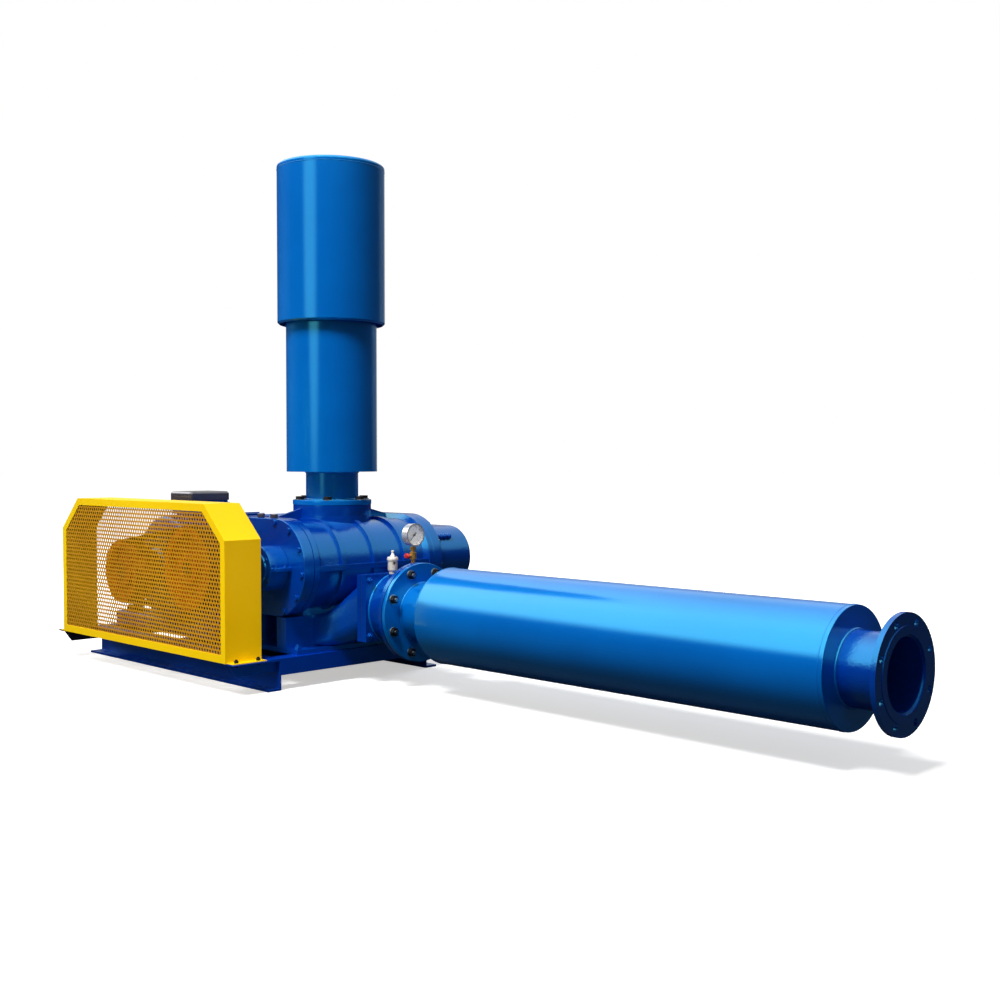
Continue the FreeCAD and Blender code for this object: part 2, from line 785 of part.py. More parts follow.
def rotor_casing():
    front = casing_front_y
    back = casing_back_y
    front_edge = front + casing_flange_width
    back_edge = back - casing_flange_width
    parts = [oval(casing_radius, (front, back)), casing_flange((front, front_edge), front_edge),
             casing_flange((back_edge, back), back_edge)]
    for step in (-1, 0, 1):
        middle = casing_middle_y + step * rib_pitch
        parts.append(oval(casing_radius + rib_height, (middle - rib_width / 2, middle + rib_width / 2)))
    reach = casing_radius + rib_height + side_rib_reach
    parts.append(block((drive_axis_x - reach, driven_axis_x + reach), (front + 1, back - 1),
                       (rotor_axis_z - side_rib_width / 2, rotor_axis_z + side_rib_width / 2)))
    drum_top = intake_face_z - half_gasket
    drum = turned_z([(0, rotor_axis_z + 60), (intake_drum_radius + intake_drum_flare, rotor_axis_z + 60),
                     (intake_drum_radius, drum_top), (0, drum_top)], blower_x, casing_middle_y)
    parts.append(drum)
    for end, toward in ((front_edge - casing_flange_slope, 1), (back_edge + casing_flange_slope, -1)):
        drum_y = casing_middle_y - toward * (intake_drum_radius - 10)
        parts.append(prism([(blower_x - gusset_width / 2, end, rotor_axis_z + casing_radius - 10),
                            (blower_x - gusset_width / 2, end, rotor_axis_z + plate_radius),
                            (blower_x - gusset_width / 2, drum_y, drum_top - 8),
                            (blower_x - gusset_width / 2, drum_y, rotor_axis_z + casing_radius - 10)],
                           (gusset_width, 0, 0)))
    parts.append(block((blower_x - saddle_width / 2, blower_x + saddle_width / 2),
                       (front_edge, back_edge), (saddle_face_z, rotor_axis_z - 100)))
    shape = join(parts)
    bores = [rod_y(bore_radius, x, (front - 1, back + 1), rotor_axis_z)
             for x in (drive_axis_x, driven_axis_x)]
    inlet = rod_z(port_radius, blower_x, casing_middle_y, (rotor_axis_z, drum_top + 1))
    outlet = block(spread(blower_x, outlet_port_length), spread(casing_middle_y, outlet_port_depth),
                   (saddle_face_z - 1, rotor_axis_z))
    return shape.cut(join(bores + [inlet, outlet]))


def end_plate(y):
    shape = oval(plate_radius, y)
    for x in (drive_axis_x, driven_axis_x):
        shape = shape.cut(rod_y(bearing_radius, x, (y[0] - 1, y[1] + 1), rotor_axis_z))
    return shape


def bearing_housing(x, inner_side, shaft_hole):
    """A split housing on the front plate; inner_side is toward the other rotor."""
    back = front_plate_y
    front = back - housing_length
    barrel = rod_y(housing_radius, x, (front, back), rotor_axis_z)
    outer = x - inner_side * (housing_radius + split_flange_reach)
    inner = x + inner_side * (rotor_spacing / 2 - 4)
    flange = block(sorted((outer, inner)), (front + 8, back),
                   (rotor_axis_z - split_flange_width / 2, rotor_axis_z + split_flange_width / 2))
    nose = rod_y(housing_radius - 26, x, (front - 7, front + 1), rotor_axis_z)
    shape = join([barrel, flange, nose])
    shape = shape.cut(rod_y(bearing_radius, x, (front + housing_cap, back + 1), rotor_axis_z))
    if shaft_hole:
        shape = shape.cut(rod_y(shaft_radius + 1, x, (front - 8, back), rotor_axis_z))
    return shape


def gear_cover():
    start = back_plate_y
    end = start + gear_case_length
    shape = join([oval(gear_case_flange, (start, start + gear_case_flange_width)),
                  oval(gear_case_radius, (start, end))])
    rim = [e for e in shape.Edges if e.BoundBox.YMin > end - 0.1]
    shape = shape.makeChamfer(7, rim)
    return shape.cut(oval(gear_case_radius - gear_case_wall, (start - 1, end - gear_case_wall)))


def blower_bearings():
    rings = []
    for x in (drive_axis_x, driven_axis_x):
        rings.append(bearing_ring(x, front_plate_y - bearing_width, rotor_axis_z, shaft_radius,
                                  bearing_radius, bearing_width))
        rings.append(bearing_ring(x, back_plate_y - bearing_width, rotor_axis_z, shaft_radius,
                                  bearing_radius, bearing_width))
    return rings


def shaft_seals():
    rings = []
    for x in (drive_axis_x, driven_axis_x):
        for y in (casing_front_y - seal_width, casing_back_y):
            rings.append(bearing_ring(x, y, rotor_axis_z, shaft_radius, bearing_radius, seal_width))
    return rings


def plate_bolts():
    """Heads of the screws round both end plates, seated on the plates' outer faces."""
    reach = plate_radius - 15
    places = []
    for step in range(6):
        angle = math.radians(90 + 32 * step)
        places.append((drive_axis_x + reach * math.cos(angle), rotor_axis_z + reach * math.sin(angle)))
    places += [(2 * blower_x - x, z) for x, z in places]
    heads = []
    for x, z in places:
        heads.append(hexagon(plate_bolt_size / 2 + 1, (x, front_plate_y - 8, z), "y", 8))
        heads.append(hexagon(plate_bolt_size / 2 + 1, (x, back_plate_y, z), "y", 8))
    return heads


def oil_filler_caps():
    caps = []
    for x in (drive_axis_x + filler_offset, driven_axis_x + 28 - filler_offset):
        caps.append(rod_z(filler_radius, x, front_plate_y + plate_thickness / 2,
                          (rotor_axis_z + plate_radius, rotor_axis_z + plate_radius + 16)))
    caps.append(rod_z(filler_radius + 5, blower_x, back_plate_y + gear_case_filler,
                      (rotor_axis_z + gear_case_radius, rotor_axis_z + gear_case_radius + 24)))
    return caps


def oil_sight_glasses():
    front = front_plate_y - housing_length
    back = back_plate_y + gear_case_length
    return [rod_y(sight_glass_radius - 4, driven_axis_x + sight_glass_offset, (front - 6, front),
                  rotor_axis_z - 40),
            rod_y(sight_glass_radius, driven_axis_x, (back, back + 10), rotor_axis_z - 60)]


# Rotating parts of the blower

def lobe_point(circle_angle, outside):
    """A point of the cycloid, moved inwards along its normal by the rotor inset."""
    roller = pitch_radius / 6
    arm = pitch_radius + roller if outside else pitch_radius - roller
    spin = arm / roller * circle_angle
    contact = (pitch_radius * math.cos(circle_angle), pitch_radius * math.sin(circle_angle))
    if outside:
        point = (arm * math.cos(circle_angle) - roller * math.cos(spin),
                 arm * math.sin(circle_angle) - roller * math.sin(spin))
        normal = (point[0] - contact[0], point[1] - contact[1])
    else:
        point = (arm * math.cos(circle_angle) + roller * math.cos(spin),
                 arm * math.sin(circle_angle) - roller * math.sin(spin))
        normal = (contact[0] - point[0], contact[1] - point[1])
    size = math.hypot(*normal)
    return point[0] - rotor_inset * normal[0] / size, point[1] - rotor_inset * normal[1] / size


def lobed_rotor(axis_x, front_end, front_step):
    """Six half lobes about the axis, each of four arcs, joined straight at the pitch circle."""
    half_lobe = math.radians(60)
    start_y = casing_front_y + end_clearance
    halves = []
    for number in range(6):
        turn = half_lobe * (number - 0.5)
        points = []
        for step in range(9):
            share = (1 - math.cos(math.pi * (step + 0.5) / 9)) / 2
            u, v = lobe_point(half_lobe * share, number % 2 == 0)
            points.append(vector(axis_x + u * math.cos(turn) - v * math.sin(turn), start_y,
                                 rotor_axis_z + u * math.sin(turn) + v * math.cos(turn)))
        halves.append(points)
    edges = []
    for points, following in zip(halves, halves[1:] + halves[:1]):
        edges += [Part.Arc(*points[first:first + 3]).toShape() for first in (0, 2, 4, 6)]
        edges.append(Part.makeLine(points[-1], following[0]))
    lobes = Part.Face(Part.Wire(edges)).extrude(vector(0, casing_length - 2 * end_clearance, 0))
    gear_seat_end = back_plate_y + gear_width + 34
    parts = [lobes, rod_y(shaft_radius, axis_x, (front_step, back_plate_y + 1), rotor_axis_z),
             rod_y(gear_seat_radius, axis_x, (back_plate_y, gear_seat_end), rotor_axis_z)]
    if front_end < front_step:
        parts.append(rod_y(shaft_end_radius, axis_x, (front_end, front_step + 1), rotor_axis_z))
    return join(parts)


def involute(angle_cosine):
    angle = math.acos(angle_cosine)
    return math.tan(angle) - angle


def timing_gear(axis_x, turn):
    module = rotor_spacing / gear_teeth
    base = pitch_radius * math.cos(math.radians(20))
    tip = pitch_radius + module
    root = pitch_radius - 1.25 * module
    half_pitch = (math.pi * module / 2 - gear_backlash) / 2 / pitch_radius
    half_tip = half_pitch + involute(base / pitch_radius) - involute(base / tip)
    half_base = half_pitch + involute(base / pitch_radius)
    points = []
    for tooth in range(gear_teeth):
        middle = turn + 2 * math.pi * tooth / gear_teeth
        for radius, angle in ((root, -half_base), (tip, -half_tip), (tip, half_tip), (root, half_base)):
            points.append((axis_x + radius * math.cos(middle + angle), back_plate_y + 16,
                           rotor_axis_z + radius * math.sin(middle + angle)))
    blank = prism(points, (0, gear_width, 0))
    hub = rod_y(46, axis_x, (back_plate_y + 10, back_plate_y + gear_width + 22), rotor_axis_z)
    bore = rod_y(gear_seat_radius, axis_x, (back_plate_y, back_plate_y + gear_case_length), rotor_axis_z)
    return join([blank, hub]).cut(bore)


# Discharge casting, with a horn that narrows from the foot to its square flange

def horn_section(x, y, z, corner):
    """A rectangle across X, each corner rounded by three short chords."""
    points = []
    for side_y, side_z, turn in ((1, 1, 0), (0, 1, 90), (0, 0, 180), (1, 0, 270)):
        centre_y = y[side_y] + (1 - 2 * side_y) * corner
        centre_z = z[side_z] + (1 - 2 * side_z) * corner
        for step in (0, 30, 60, 90):
            angle = math.radians(turn + step)
            points.append(vector(x, centre_y + corner * math.cos(angle), centre_z + corner * math.sin(angle)))
    return Part.makePolygon(points + points[:1])


def discharge_base():
    middle = casing_middle_y
    wall_top = saddle_face_z
    left = foot_left_x + side_wall_inset
    low_flange_z, high_flange_z = spread(square_flange_z, square_flange_height)
    flange_back_x = discharge_face_x - half_gasket - square_flange_thickness
    horn_end_depth = square_flange_depth - 2 * horn_end_inset
    start_x = right_wall_x - 8
    span = flange_back_x - start_x
    sections = []
    for share, narrowing, low, high, corner in (
            (0, 0, foot_top_z - 1, wall_top, 12), (0.29, 0.12, foot_top_z - 1, wall_top + 14, 34),
            (0.53, 0.42, foot_top_z + 6, wall_top + 56, 54), (0.78, 0.8, foot_top_z + 22, wall_top + 116, 68),
            (1, 1, low_flange_z + horn_end_inset, high_flange_z - horn_end_inset, 76)):
        depth = horn_depth + narrowing * (horn_end_depth - horn_depth)
        sections.append(horn_section(start_x + share * span, spread(middle, depth), (low, high), corner))
    horn = Part.makeLoft(sections, True, True)
    parts = [block((foot_left_x, foot_right_x), (foot_front_y, foot_back_y), (channel_height, foot_top_z)),
             block((right_wall_x - side_wall_width, right_wall_x), (foot_front_y, foot_back_y),
                   (foot_top_z, wall_top)),
             block((left, left + side_wall_width), (foot_front_y, foot_back_y), (foot_top_z, wall_top)),
             block((left, right_wall_x), spread(middle, chamber_depth), (foot_top_z, wall_top)),
             horn,
             block((flange_back_x, discharge_face_x - half_gasket), spread(middle, square_flange_depth),
                   (low_flange_z, high_flange_z))]
    shape = join(parts)
    floor = foot_top_z + 24
    chamber = block((left + side_wall_width + chamber_wall, right_wall_x - side_wall_width),
                    spread(middle, chamber_cavity_depth), (floor, wall_top + 1))
    throat = Part.makeLoft([
        horn_section(right_wall_x - side_wall_width - 20, spread(middle, chamber_cavity_depth),
                     (floor, wall_top - 21), 8),
        horn_section(start_x + 0.29 * span, spread(middle, chamber_cavity_depth), (floor, wall_top - 11), 8),
        horn_section(discharge_face_x + 1, spread(middle, throat_size),
                     spread(pipe_axis_z, throat_size), 30)], True, True)
    return shape.cut(chamber).cut(throat).cut(foot_bolt_holes())


def blower_foot_places():
    return [(x, y) for x in (foot_left_x + foot_bolt_inset_x, foot_right_x - foot_bolt_inset_x)
            for y in (foot_front_y + foot_bolt_inset_y, foot_back_y - foot_bolt_inset_y)]


def foot_bolt_holes():
    """The holes that the blower's foot bolts take through the foot and what carries it."""
    return Part.makeCompound([rod_z(foot_bolt_radius + bolt_hole_gap, x, y,
                                    (channel_height - angle_leg, foot_top_z + 1))
                              for x, y in blower_foot_places()])


# Flanged discharge line

def flange_circle(x, radius, count, size):
    holes = []
    for u, v in ring_places(count, radius, 180.0 / count):
        holes.append(rod_x(size, x, casing_middle_y + u, pipe_axis_z + v))
    return Part.makeCompound(holes)


def square_bolt_places():
    half_y = square_flange_depth / 2 - 22
    half_z = square_flange_height / 2 - 22
    return [(casing_middle_y + a * half_y, square_flange_z + b * half_z)
            for a in (-1, 1) for b in (-1, 1)]


def outlet_branch():
    start = discharge_face_x + half_gasket
    plate_end = start + square_flange_thickness
    face = round_flange_face_x - half_gasket
    ring_start = face - round_flange_thickness
    y = casing_middle_y
    plate = block((start, plate_end), (y - square_flange_depth / 2, y + square_flange_depth / 2),
                  (square_flange_z - square_flange_height / 2, square_flange_z + square_flange_height / 2))
    shape = join([plate, rod_x(branch_pipe_radius, (start, face), y, pipe_axis_z),
                  rod_x(round_flange_radius, (ring_start, face), y, pipe_axis_z),
                  rod_z(16, valve_x, valve_y, (pipe_axis_z + 110, valve_seat_z)),
                  rod_z(14, gauge_x, y, (pipe_axis_z + branch_pipe_radius - 6, cock_bottom_z))])
    return shape.cut(rod_x(branch_pipe_radius - branch_pipe_wall, (start - 1, face + 1), y, pipe_axis_z))


def silencer_inlet_neck():
    face = round_flange_face_x + half_gasket
    outer = neck_pipe_radius
    end = silencer_start_x + silencer_disc + 8
    profile = [(outer - branch_pipe_wall, face), (round_flange_radius, face),
               (round_flange_radius, face + round_flange_thickness), (outer, face + round_flange_thickness),
               (outer, end), (outer - branch_pipe_wall, end)]
    return turned_x(profile, casing_middle_y, pipe_axis_z)


def silencer_shell():
    start = silencer_start_x
    end = silencer_end_x
    r = silencer_radius
    t = silencer_wall
    d = silencer_disc
    profile = [(neck_pipe_radius, start), (r, start), (r, end), (outlet_pipe_radius, end),
               (outlet_pipe_radius, end - d), (r - t, end - d), (r - t, start + d),
               (neck_pipe_radius, start + d)]
    return turned_x(profile, casing_middle_y, pipe_axis_z)


def silencer_core():
    """The perforated tube inside: a collar carries it in the inlet neck."""
    start = silencer_start_x - 20
    collar = neck_pipe_radius - branch_pipe_wall
    inner = core_radius - core_wall
    profile = [(inner, start), (collar, start), (collar, start + 8), (core_radius, start + 8),
               (core_radius, silencer_end_x + 20), (inner, silencer_end_x + 20)]
    return turned_x(profile, casing_middle_y, pipe_axis_z)


def outlet_neck():
    face = outlet_face_x
    back = face - outlet_flange_thickness
    r = outlet_pipe_radius
    inner = r - outlet_pipe_wall
    start = silencer_end_x - silencer_disc - 8
    profile = [(inner, start), (r, start), (r, back), (outlet_flange_radius, back),
               (outlet_flange_radius, face), (inner, face)]
    shape = turned_x(profile, casing_middle_y, pipe_axis_z)
    return shape.cut(flange_circle((back - 1, face + 1), outlet_pitch_radius, outlet_bolts, flange_bolt_hole))


def flange_bolts():
    """Heads and nuts of the three bolted flange pairs, seated on the outer faces."""
    pieces = []
    for u, v in ring_places(round_flange_bolts, round_flange_pitch_radius, 180.0 / round_flange_bolts):
        y = casing_middle_y + u
        z = pipe_axis_z + v
        near = round_flange_face_x + half_gasket + round_flange_thickness
        far = round_flange_face_x - half_gasket - round_flange_thickness
        pieces.append(join([hexagon(16, (near, y, z), "x", 13), rod_x(8, (near, near + 20), y, z)]))
        pieces.append(hexagon(17, (far - 13, y, z), "x", 13))
    for y, z in square_bolt_places():
        near = discharge_face_x + half_gasket + square_flange_thickness
        pieces.append(hexagon(12, (near, y, z), "x", 9))
    for u, v in ring_places(intake_bolts, intake_pitch_radius, -45):
        seat = intake_face_z + half_gasket + intake_flange_thickness
        pieces.append(hexagon(19, (blower_x + u, casing_middle_y + v, seat), "z", 13))
    return pieces


def flange_gaskets():
    y = casing_middle_y
    square = block((discharge_face_x - half_gasket, discharge_face_x + half_gasket),
                   (y - square_flange_depth / 2, y + square_flange_depth / 2),
                   (square_flange_z - square_flange_height / 2, square_flange_z + square_flange_height / 2))
    round_span = (round_flange_face_x - half_gasket, round_flange_face_x + half_gasket)
    pipe_ring = rod_x(round_flange_pitch_radius - 12, round_span, y, pipe_axis_z)
    pipe_hole = rod_x(branch_pipe_radius - branch_pipe_wall, (0, outlet_face_x), y, pipe_axis_z)
    intake_span = (intake_face_z - half_gasket, intake_face_z + half_gasket)
    intake_ring = rod_z(intake_pitch_radius - 15, blower_x, y, intake_span)
    intake_hole = rod_z(port_radius, blower_x, y, intake_span)
    return [pipe_ring.cut(pipe_hole), square.cut(pipe_hole), intake_ring.cut(intake_hole)]


# Intake silencer

def intake_neck():
    low = intake_face_z + half_gasket
    r = intake_pipe_radius
    inner = r - intake_pipe_wall
    top = intake_body_bottom_z + 15
    back = low + intake_flange_thickness
    profile = [(inner, low), (intake_flange_radius, low), (intake_flange_radius, back), (r, back),
               (r, top), (inner, top)]
    return turned_z(profile, blower_x, casing_middle_y)


def intake_body():
    low = intake_body_bottom_z
    r = intake_body_radius
    t = intake_sheet
    profile = [(intake_pipe_radius, low), (r, low), (r, intake_body_top_z), (r - t, intake_body_top_z),
               (r - t, low + t), (intake_pipe_radius, low + t)]
    shape = turned_z(profile, blower_x, casing_middle_y)
    lugs = []
    for number in range(4):
        lug = block((blower_x + r - 1, blower_x + intake_hood_radius - t - lug_gap),
                    (casing_middle_y - 4, casing_middle_y + 4),
                    (intake_hood_bottom_z + 30, intake_body_top_z - 6))
        lug.rotate(vector(blower_x, casing_middle_y, 0), vector(0, 0, 1), 45 + 90 * number)
        lugs.append(lug)
    return join([shape] + lugs)


def intake_hood():
    r = intake_hood_radius
    t = intake_sheet
    low = intake_hood_bottom_z
    top = intake_top_z - intake_lid_height
    profile = [(r - hood_lip, low), (r, low + hood_lip), (r, top), (r - t, top), (r - t, low + hood_lip + t),
               (r - hood_lip - t, low + t)]
    return turned_z(profile, blower_x, casing_middle_y)


def intake_lid():
    r = intake_hood_radius
    low = intake_top_z - intake_lid_height
    profile = [(0, low), (r, low), (r, intake_top_z - 6), (r - 6, intake_top_z), (0, intake_top_z)]
    return turned_z(profile, blower_x, casing_middle_y)


def intake_core():
    low = intake_body_bottom_z + 15
    r = intake_pipe_radius
    inner = r - core_wall
    edge = intake_body_radius - intake_sheet
    top = intake_body_top_z - 20
    profile = [(inner, low), (r, low), (r, top - 4), (edge, top - 4), (edge, top), (inner, top)]
    return turned_z(profile, blower_x, casing_middle_y)


# Relief valve and pressure gauge

def relief_valve_body():
    low = valve_seat_z
    r = valve_radius
    top = low + valve_height
    rise = low + valve_disc_rise
    profile = [(7, low), (r - 4, low), (r - 4, low + 6), (r - 8, low + 10), (r - 8, rise - 6), (r, rise),
               (r, top - 6), (r - 4, top), (5.3, top), (5.3, top - 8), (r - 8, top - 8), (r - 8, rise),
               (7, rise - 6)]
    shape = turned_z(profile, valve_x, valve_y)
    return shape.cut(rod_x(6.5, (valve_x, valve_x + 30), valve_y, rise + 15))


def relief_valve_stem():
    low = valve_seat_z + valve_disc_rise + valve_seat_gap
    top = valve_seat_z + valve_height
    profile = [(0, low), (valve_radius - 9, low), (valve_radius - 9, low + 6), (5, low + 6), (5, top + 9),
               (8, top + 11), (8, top + 22), (5, top + 25), (0, top + 25)]
    return turned_z(profile, valve_x, valve_y)


def relief_spring():
    """The closing spring round the stem, as a plain sleeve of its outer size."""
    low = valve_seat_z + valve_disc_rise + valve_seat_gap + 6
    top = valve_seat_z + valve_height - 8
    return turned_z([(6.5, low), (10.5, low), (10.5, top), (6.5, top)], valve_x, valve_y)


def gauge_cock():
    y = casing_middle_y
    top = gauge_axis_z - gauge_radius - 2
    stem = join([rod_z(cock_stem_radius, gauge_x, y, (cock_bottom_z, top)),
                 rod_z(cock_stem_radius + 3, gauge_x, y, (cock_bottom_z, cock_bottom_z + 14)),
                 rod_z(cock_stem_radius + 5, gauge_x, y, (cock_axis_z - 13, cock_axis_z + 13)),
                 rod_z(cock_stem_radius + 4, gauge_x, y, (top - 12, top)),
                 rod_y(cock_stem_radius - 1, gauge_x, (y - 22, y), cock_axis_z)])
    return stem


def cock_handle():
    """The butterfly handle on the cock's spindle: a hub with two wings."""
    y = casing_middle_y - 22.3
    hub = rod_y(8, gauge_x, (y - 14, y), cock_axis_z)
    wings = prism([(gauge_x - 19, y - 12, cock_axis_z - 6), (gauge_x, y - 12, cock_axis_z - 4),
                   (gauge_x + 19, y - 12, cock_axis_z - 6), (gauge_x + 19, y - 12, cock_axis_z + 6),
                   (gauge_x, y - 12, cock_axis_z + 4), (gauge_x - 19, y - 12, cock_axis_z + 6)], (0, 8, 0))
    return join([hub, wings])


def gauge_case():
    y = casing_middle_y
    back = gauge_x - gauge_depth / 2
    r = gauge_radius
    front = gauge_x + gauge_depth / 2
    wall = gauge_wall
    cup = turned_x([(0, back), (r - 2, back), (r - 2, front - 8), (r, front - 8), (r, front),
                    (r - wall, front), (r - wall, back + wall), (0, back + wall)], y, gauge_axis_z)
    stem = rod_z(cock_stem_radius, gauge_x, y, (gauge_axis_z - r - 2, gauge_axis_z - r + 10))
    return join([cup, stem.cut(rod_x(r - wall, (back + wall, front), y, gauge_axis_z))])


def gauge_dial():
    y = casing_middle_y
    start = gauge_x + gauge_depth / 2 - 12
    disc = rod_x(gauge_radius - gauge_wall, (start, start + 1.5), y, gauge_axis_z)
    return disc.cut(rod_x(2.6, (start - 1, start + 3), y, gauge_axis_z))


def gauge_needle():
    """The pointer on its spindle, which turns in the dial's hole."""
    y = casing_middle_y
    back = gauge_x - gauge_depth / 2 + gauge_wall + 0.3
    start = gauge_x + gauge_depth / 2 - 9
    pin = rod_x(2.5, (back, start + 2), y, gauge_axis_z)
    hub = rod_x(5, (start, start + 2), y, gauge_axis_z)
    pointer = prism([(start, y - 2.6, gauge_axis_z - 13), (start, y + 2.6, gauge_axis_z - 13),
                     (start, y + 0.8, gauge_axis_z + gauge_radius - 13),
                     (start, y - 0.8, gauge_axis_z + gauge_radius - 13)], (1.4, 0, 0))
    pointer.rotate(vector(start, y, gauge_axis_z), vector(1, 0, 0), pointer_zero_angle)
    return join([pin, hub, pointer])


def gauge_glass():
    y = casing_middle_y
    front = gauge_x + gauge_depth / 2 - 2
    return rod_x(gauge_radius - gauge_wall, (front - 3, front), y, gauge_axis_z)


# Write every node

rail_ys = (motor_foot_front_y, motor_foot_front_y + motor_foot_pitch)
rail_top_z = channel_height + rail_height

save("base_channels", [channel(-1), channel(1)])
save("side_angles", [side_angle(-1), side_angle(1)])
save("inner_beams", [cross_beam(middle_beam_x), cross_beam(foot_left_x)])
save("guard_brackets", [guard_bracket(-1, bracket_x(-1)), guard_bracket(1, bracket_x(1))])
save("motor_rails", [motor_rail(y) for y in rail_ys])
save("motor_jack_screws", [jack_screw(y) for y in rail_ys])
save("foot_bolts", [foot_bolt(x, y, rail_top_z - rail_wall, rail_top_z + 20, 9, 16)
                    for x, y in motor_foot_places()]
     + [foot_bolt(x, y, channel_height - (channel_lip if y > web_y else angle_wall), foot_top_z,
                  foot_bolt_radius, 13) for x, y in blower_foot_places()])
save("guard_shell", guard_shell())
save("guard_mesh", guard_mesh())
save("guard_bolts", [foot_bolt(guard_bolt_x(side), y, channel_height - guard_bracket_wall,
                               channel_height + guard_sheet, guard_bolt_radius, 9)
                     for side in (-1, 1) for y in guard_bolt_ys()])
save("motor_frame", motor_frame())
save("motor_drive_shield", motor_drive_shield())
save("motor_rear_shield", motor_rear_shield())
save("motor_fan_cover", motor_fan_cover())
save("terminal_box", terminal_box())
save("terminal_box_lid", terminal_box_lid())
save("cable_glands", [cable_gland(motor_x - 34), cable_gland(motor_x + 34)])
save("stator_core", stator_core())
save("motor_rotor", motor_rotor())
save("motor_fan", motor_fan())
save("motor_pulley", pulley(motor_x, motor_z, motor_pulley_radius, motor_shaft_radius))
save("v_belts", [belt(y) for y in groove_middles()])
save("rotor_casing", rotor_casing())
save("drive_end_plate", end_plate((front_plate_y, casing_front_y)))
save("gear_end_plate", end_plate((casing_back_y, back_plate_y)))
save("drive_bearing_housing", bearing_housing(drive_axis_x, 1, True))
save("driven_bearing_housing", bearing_housing(driven_axis_x, -1, False))
save("gear_cover", gear_cover())
save("shaft_bearings", blower_bearings() + motor_bearings())
save("shaft_seals", shaft_seals())
save("end_plate_bolts", plate_bolts())
save("oil_filler_caps", oil_filler_caps())
save("oil_sight_glasses", oil_sight_glasses())
save("drive_rotor", lobed_rotor(drive_axis_x, pulley_front_y - 2, front_plate_y - housing_length - 30))
save("driven_rotor", lobed_rotor(driven_axis_x, front_plate_y - 50, front_plate_y - 50))
save("drive_timing_gear", timing_gear(drive_axis_x, 0))
save("driven_timing_gear", timing_gear(driven_axis_x, math.pi / gear_teeth))
save("blower_pulley", pulley(drive_axis_x, rotor_axis_z, blower_pulley_radius, shaft_end_radius))
save("discharge_base", discharge_base())
save("outlet_branch", outlet_branch())
save("silencer_inlet_neck", silencer_inlet_neck())
save("silencer_shell", silencer_shell())
save("silencer_core", silencer_core())
save("outlet_neck", outlet_neck())
save("flange_bolts", flange_bolts())
save("flange_gaskets", flange_gaskets())
save("intake_neck", intake_neck())
save("intake_body", intake_body())
save("intake_hood", intake_hood())
save("intake_lid", intake_lid())
save("intake_core", intake_core())
save("relief_valve_body", relief_valve_body())
save("relief_valve_stem", relief_valve_stem())
save("relief_spring", relief_spring())
save("gauge_cock", gauge_cock())
save("cock_handle", cock_handle())
save("gauge_case", gauge_case())
save("gauge_dial", gauge_dial())
save("gauge_needle", gauge_needle())
save("gauge_glass", gauge_glass())
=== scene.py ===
import json
import math
import bpy
from mathutils import Matrix, Vector

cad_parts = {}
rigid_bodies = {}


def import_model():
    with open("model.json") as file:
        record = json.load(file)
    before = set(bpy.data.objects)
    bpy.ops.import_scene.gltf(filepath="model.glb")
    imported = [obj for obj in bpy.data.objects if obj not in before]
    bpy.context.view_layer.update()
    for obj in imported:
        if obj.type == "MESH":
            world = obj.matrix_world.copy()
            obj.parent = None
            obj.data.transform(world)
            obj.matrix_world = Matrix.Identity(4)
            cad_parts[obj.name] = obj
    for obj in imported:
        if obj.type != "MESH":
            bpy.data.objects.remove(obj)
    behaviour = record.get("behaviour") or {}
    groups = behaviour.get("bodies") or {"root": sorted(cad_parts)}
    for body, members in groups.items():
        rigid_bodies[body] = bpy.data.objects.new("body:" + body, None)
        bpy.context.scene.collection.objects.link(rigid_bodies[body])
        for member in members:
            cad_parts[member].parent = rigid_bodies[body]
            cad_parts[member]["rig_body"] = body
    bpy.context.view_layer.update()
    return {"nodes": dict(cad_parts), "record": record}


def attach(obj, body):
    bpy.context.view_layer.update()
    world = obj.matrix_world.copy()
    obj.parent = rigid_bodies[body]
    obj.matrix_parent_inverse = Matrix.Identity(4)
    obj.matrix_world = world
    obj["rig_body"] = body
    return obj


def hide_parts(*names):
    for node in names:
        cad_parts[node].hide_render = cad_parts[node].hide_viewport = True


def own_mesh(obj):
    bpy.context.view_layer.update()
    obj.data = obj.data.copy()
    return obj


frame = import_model()
print("frame loaded")


# Small helpers for modelling by hand

meshing = {"mergeNear": 0.00002, "mergeCad": 0.00001, "flatWithin": 0.4, "edgeAngle": 32}


def clearSelection():
    if bpy.context.mode != "OBJECT":
        bpy.ops.object.mode_set(mode="OBJECT")
    bpy.ops.object.select_all(action="DESELECT")


def activate(piece):
    clearSelection()
    piece.select_set(True)
    bpy.context.view_layer.objects.active = piece


def applyModifier(piece, kind, **values):
    activate(piece)
    modifier = piece.modifiers.new(kind.title(), kind)
    for key, value in values.items():
        setattr(modifier, key, value)
    bpy.ops.object.modifier_apply(modifier=modifier.name)


def settle(piece):  # place and size go into the mesh
    activate(piece)
    bpy.ops.object.transform_apply(location=True, rotation=True, scale=True)


def faceOutwards(piece):
    activate(piece)
    bpy.ops.object.mode_set(mode="EDIT")
    bpy.ops.mesh.select_all(action="SELECT")
    bpy.ops.mesh.remove_doubles(threshold=meshing["mergeNear"])
    bpy.ops.mesh.normals_make_consistent(inside=False)
    bpy.ops.object.mode_set(mode="OBJECT")


def softenEdges(piece, width, segments=2, angle=meshing["edgeAngle"]):
    if width > 0:
        applyModifier(piece, "BEVEL", width=width, segments=segments, limit_method="ANGLE",
                      angle_limit=math.radians(angle), use_clamp_overlap=True)
    activate(piece)
    bpy.ops.object.shade_smooth_by_angle(angle=math.radians(angle))
    if width > 0:
        applyModifier(piece, "WEIGHTED_NORMAL", keep_sharp=True)  # flat faces stay flat


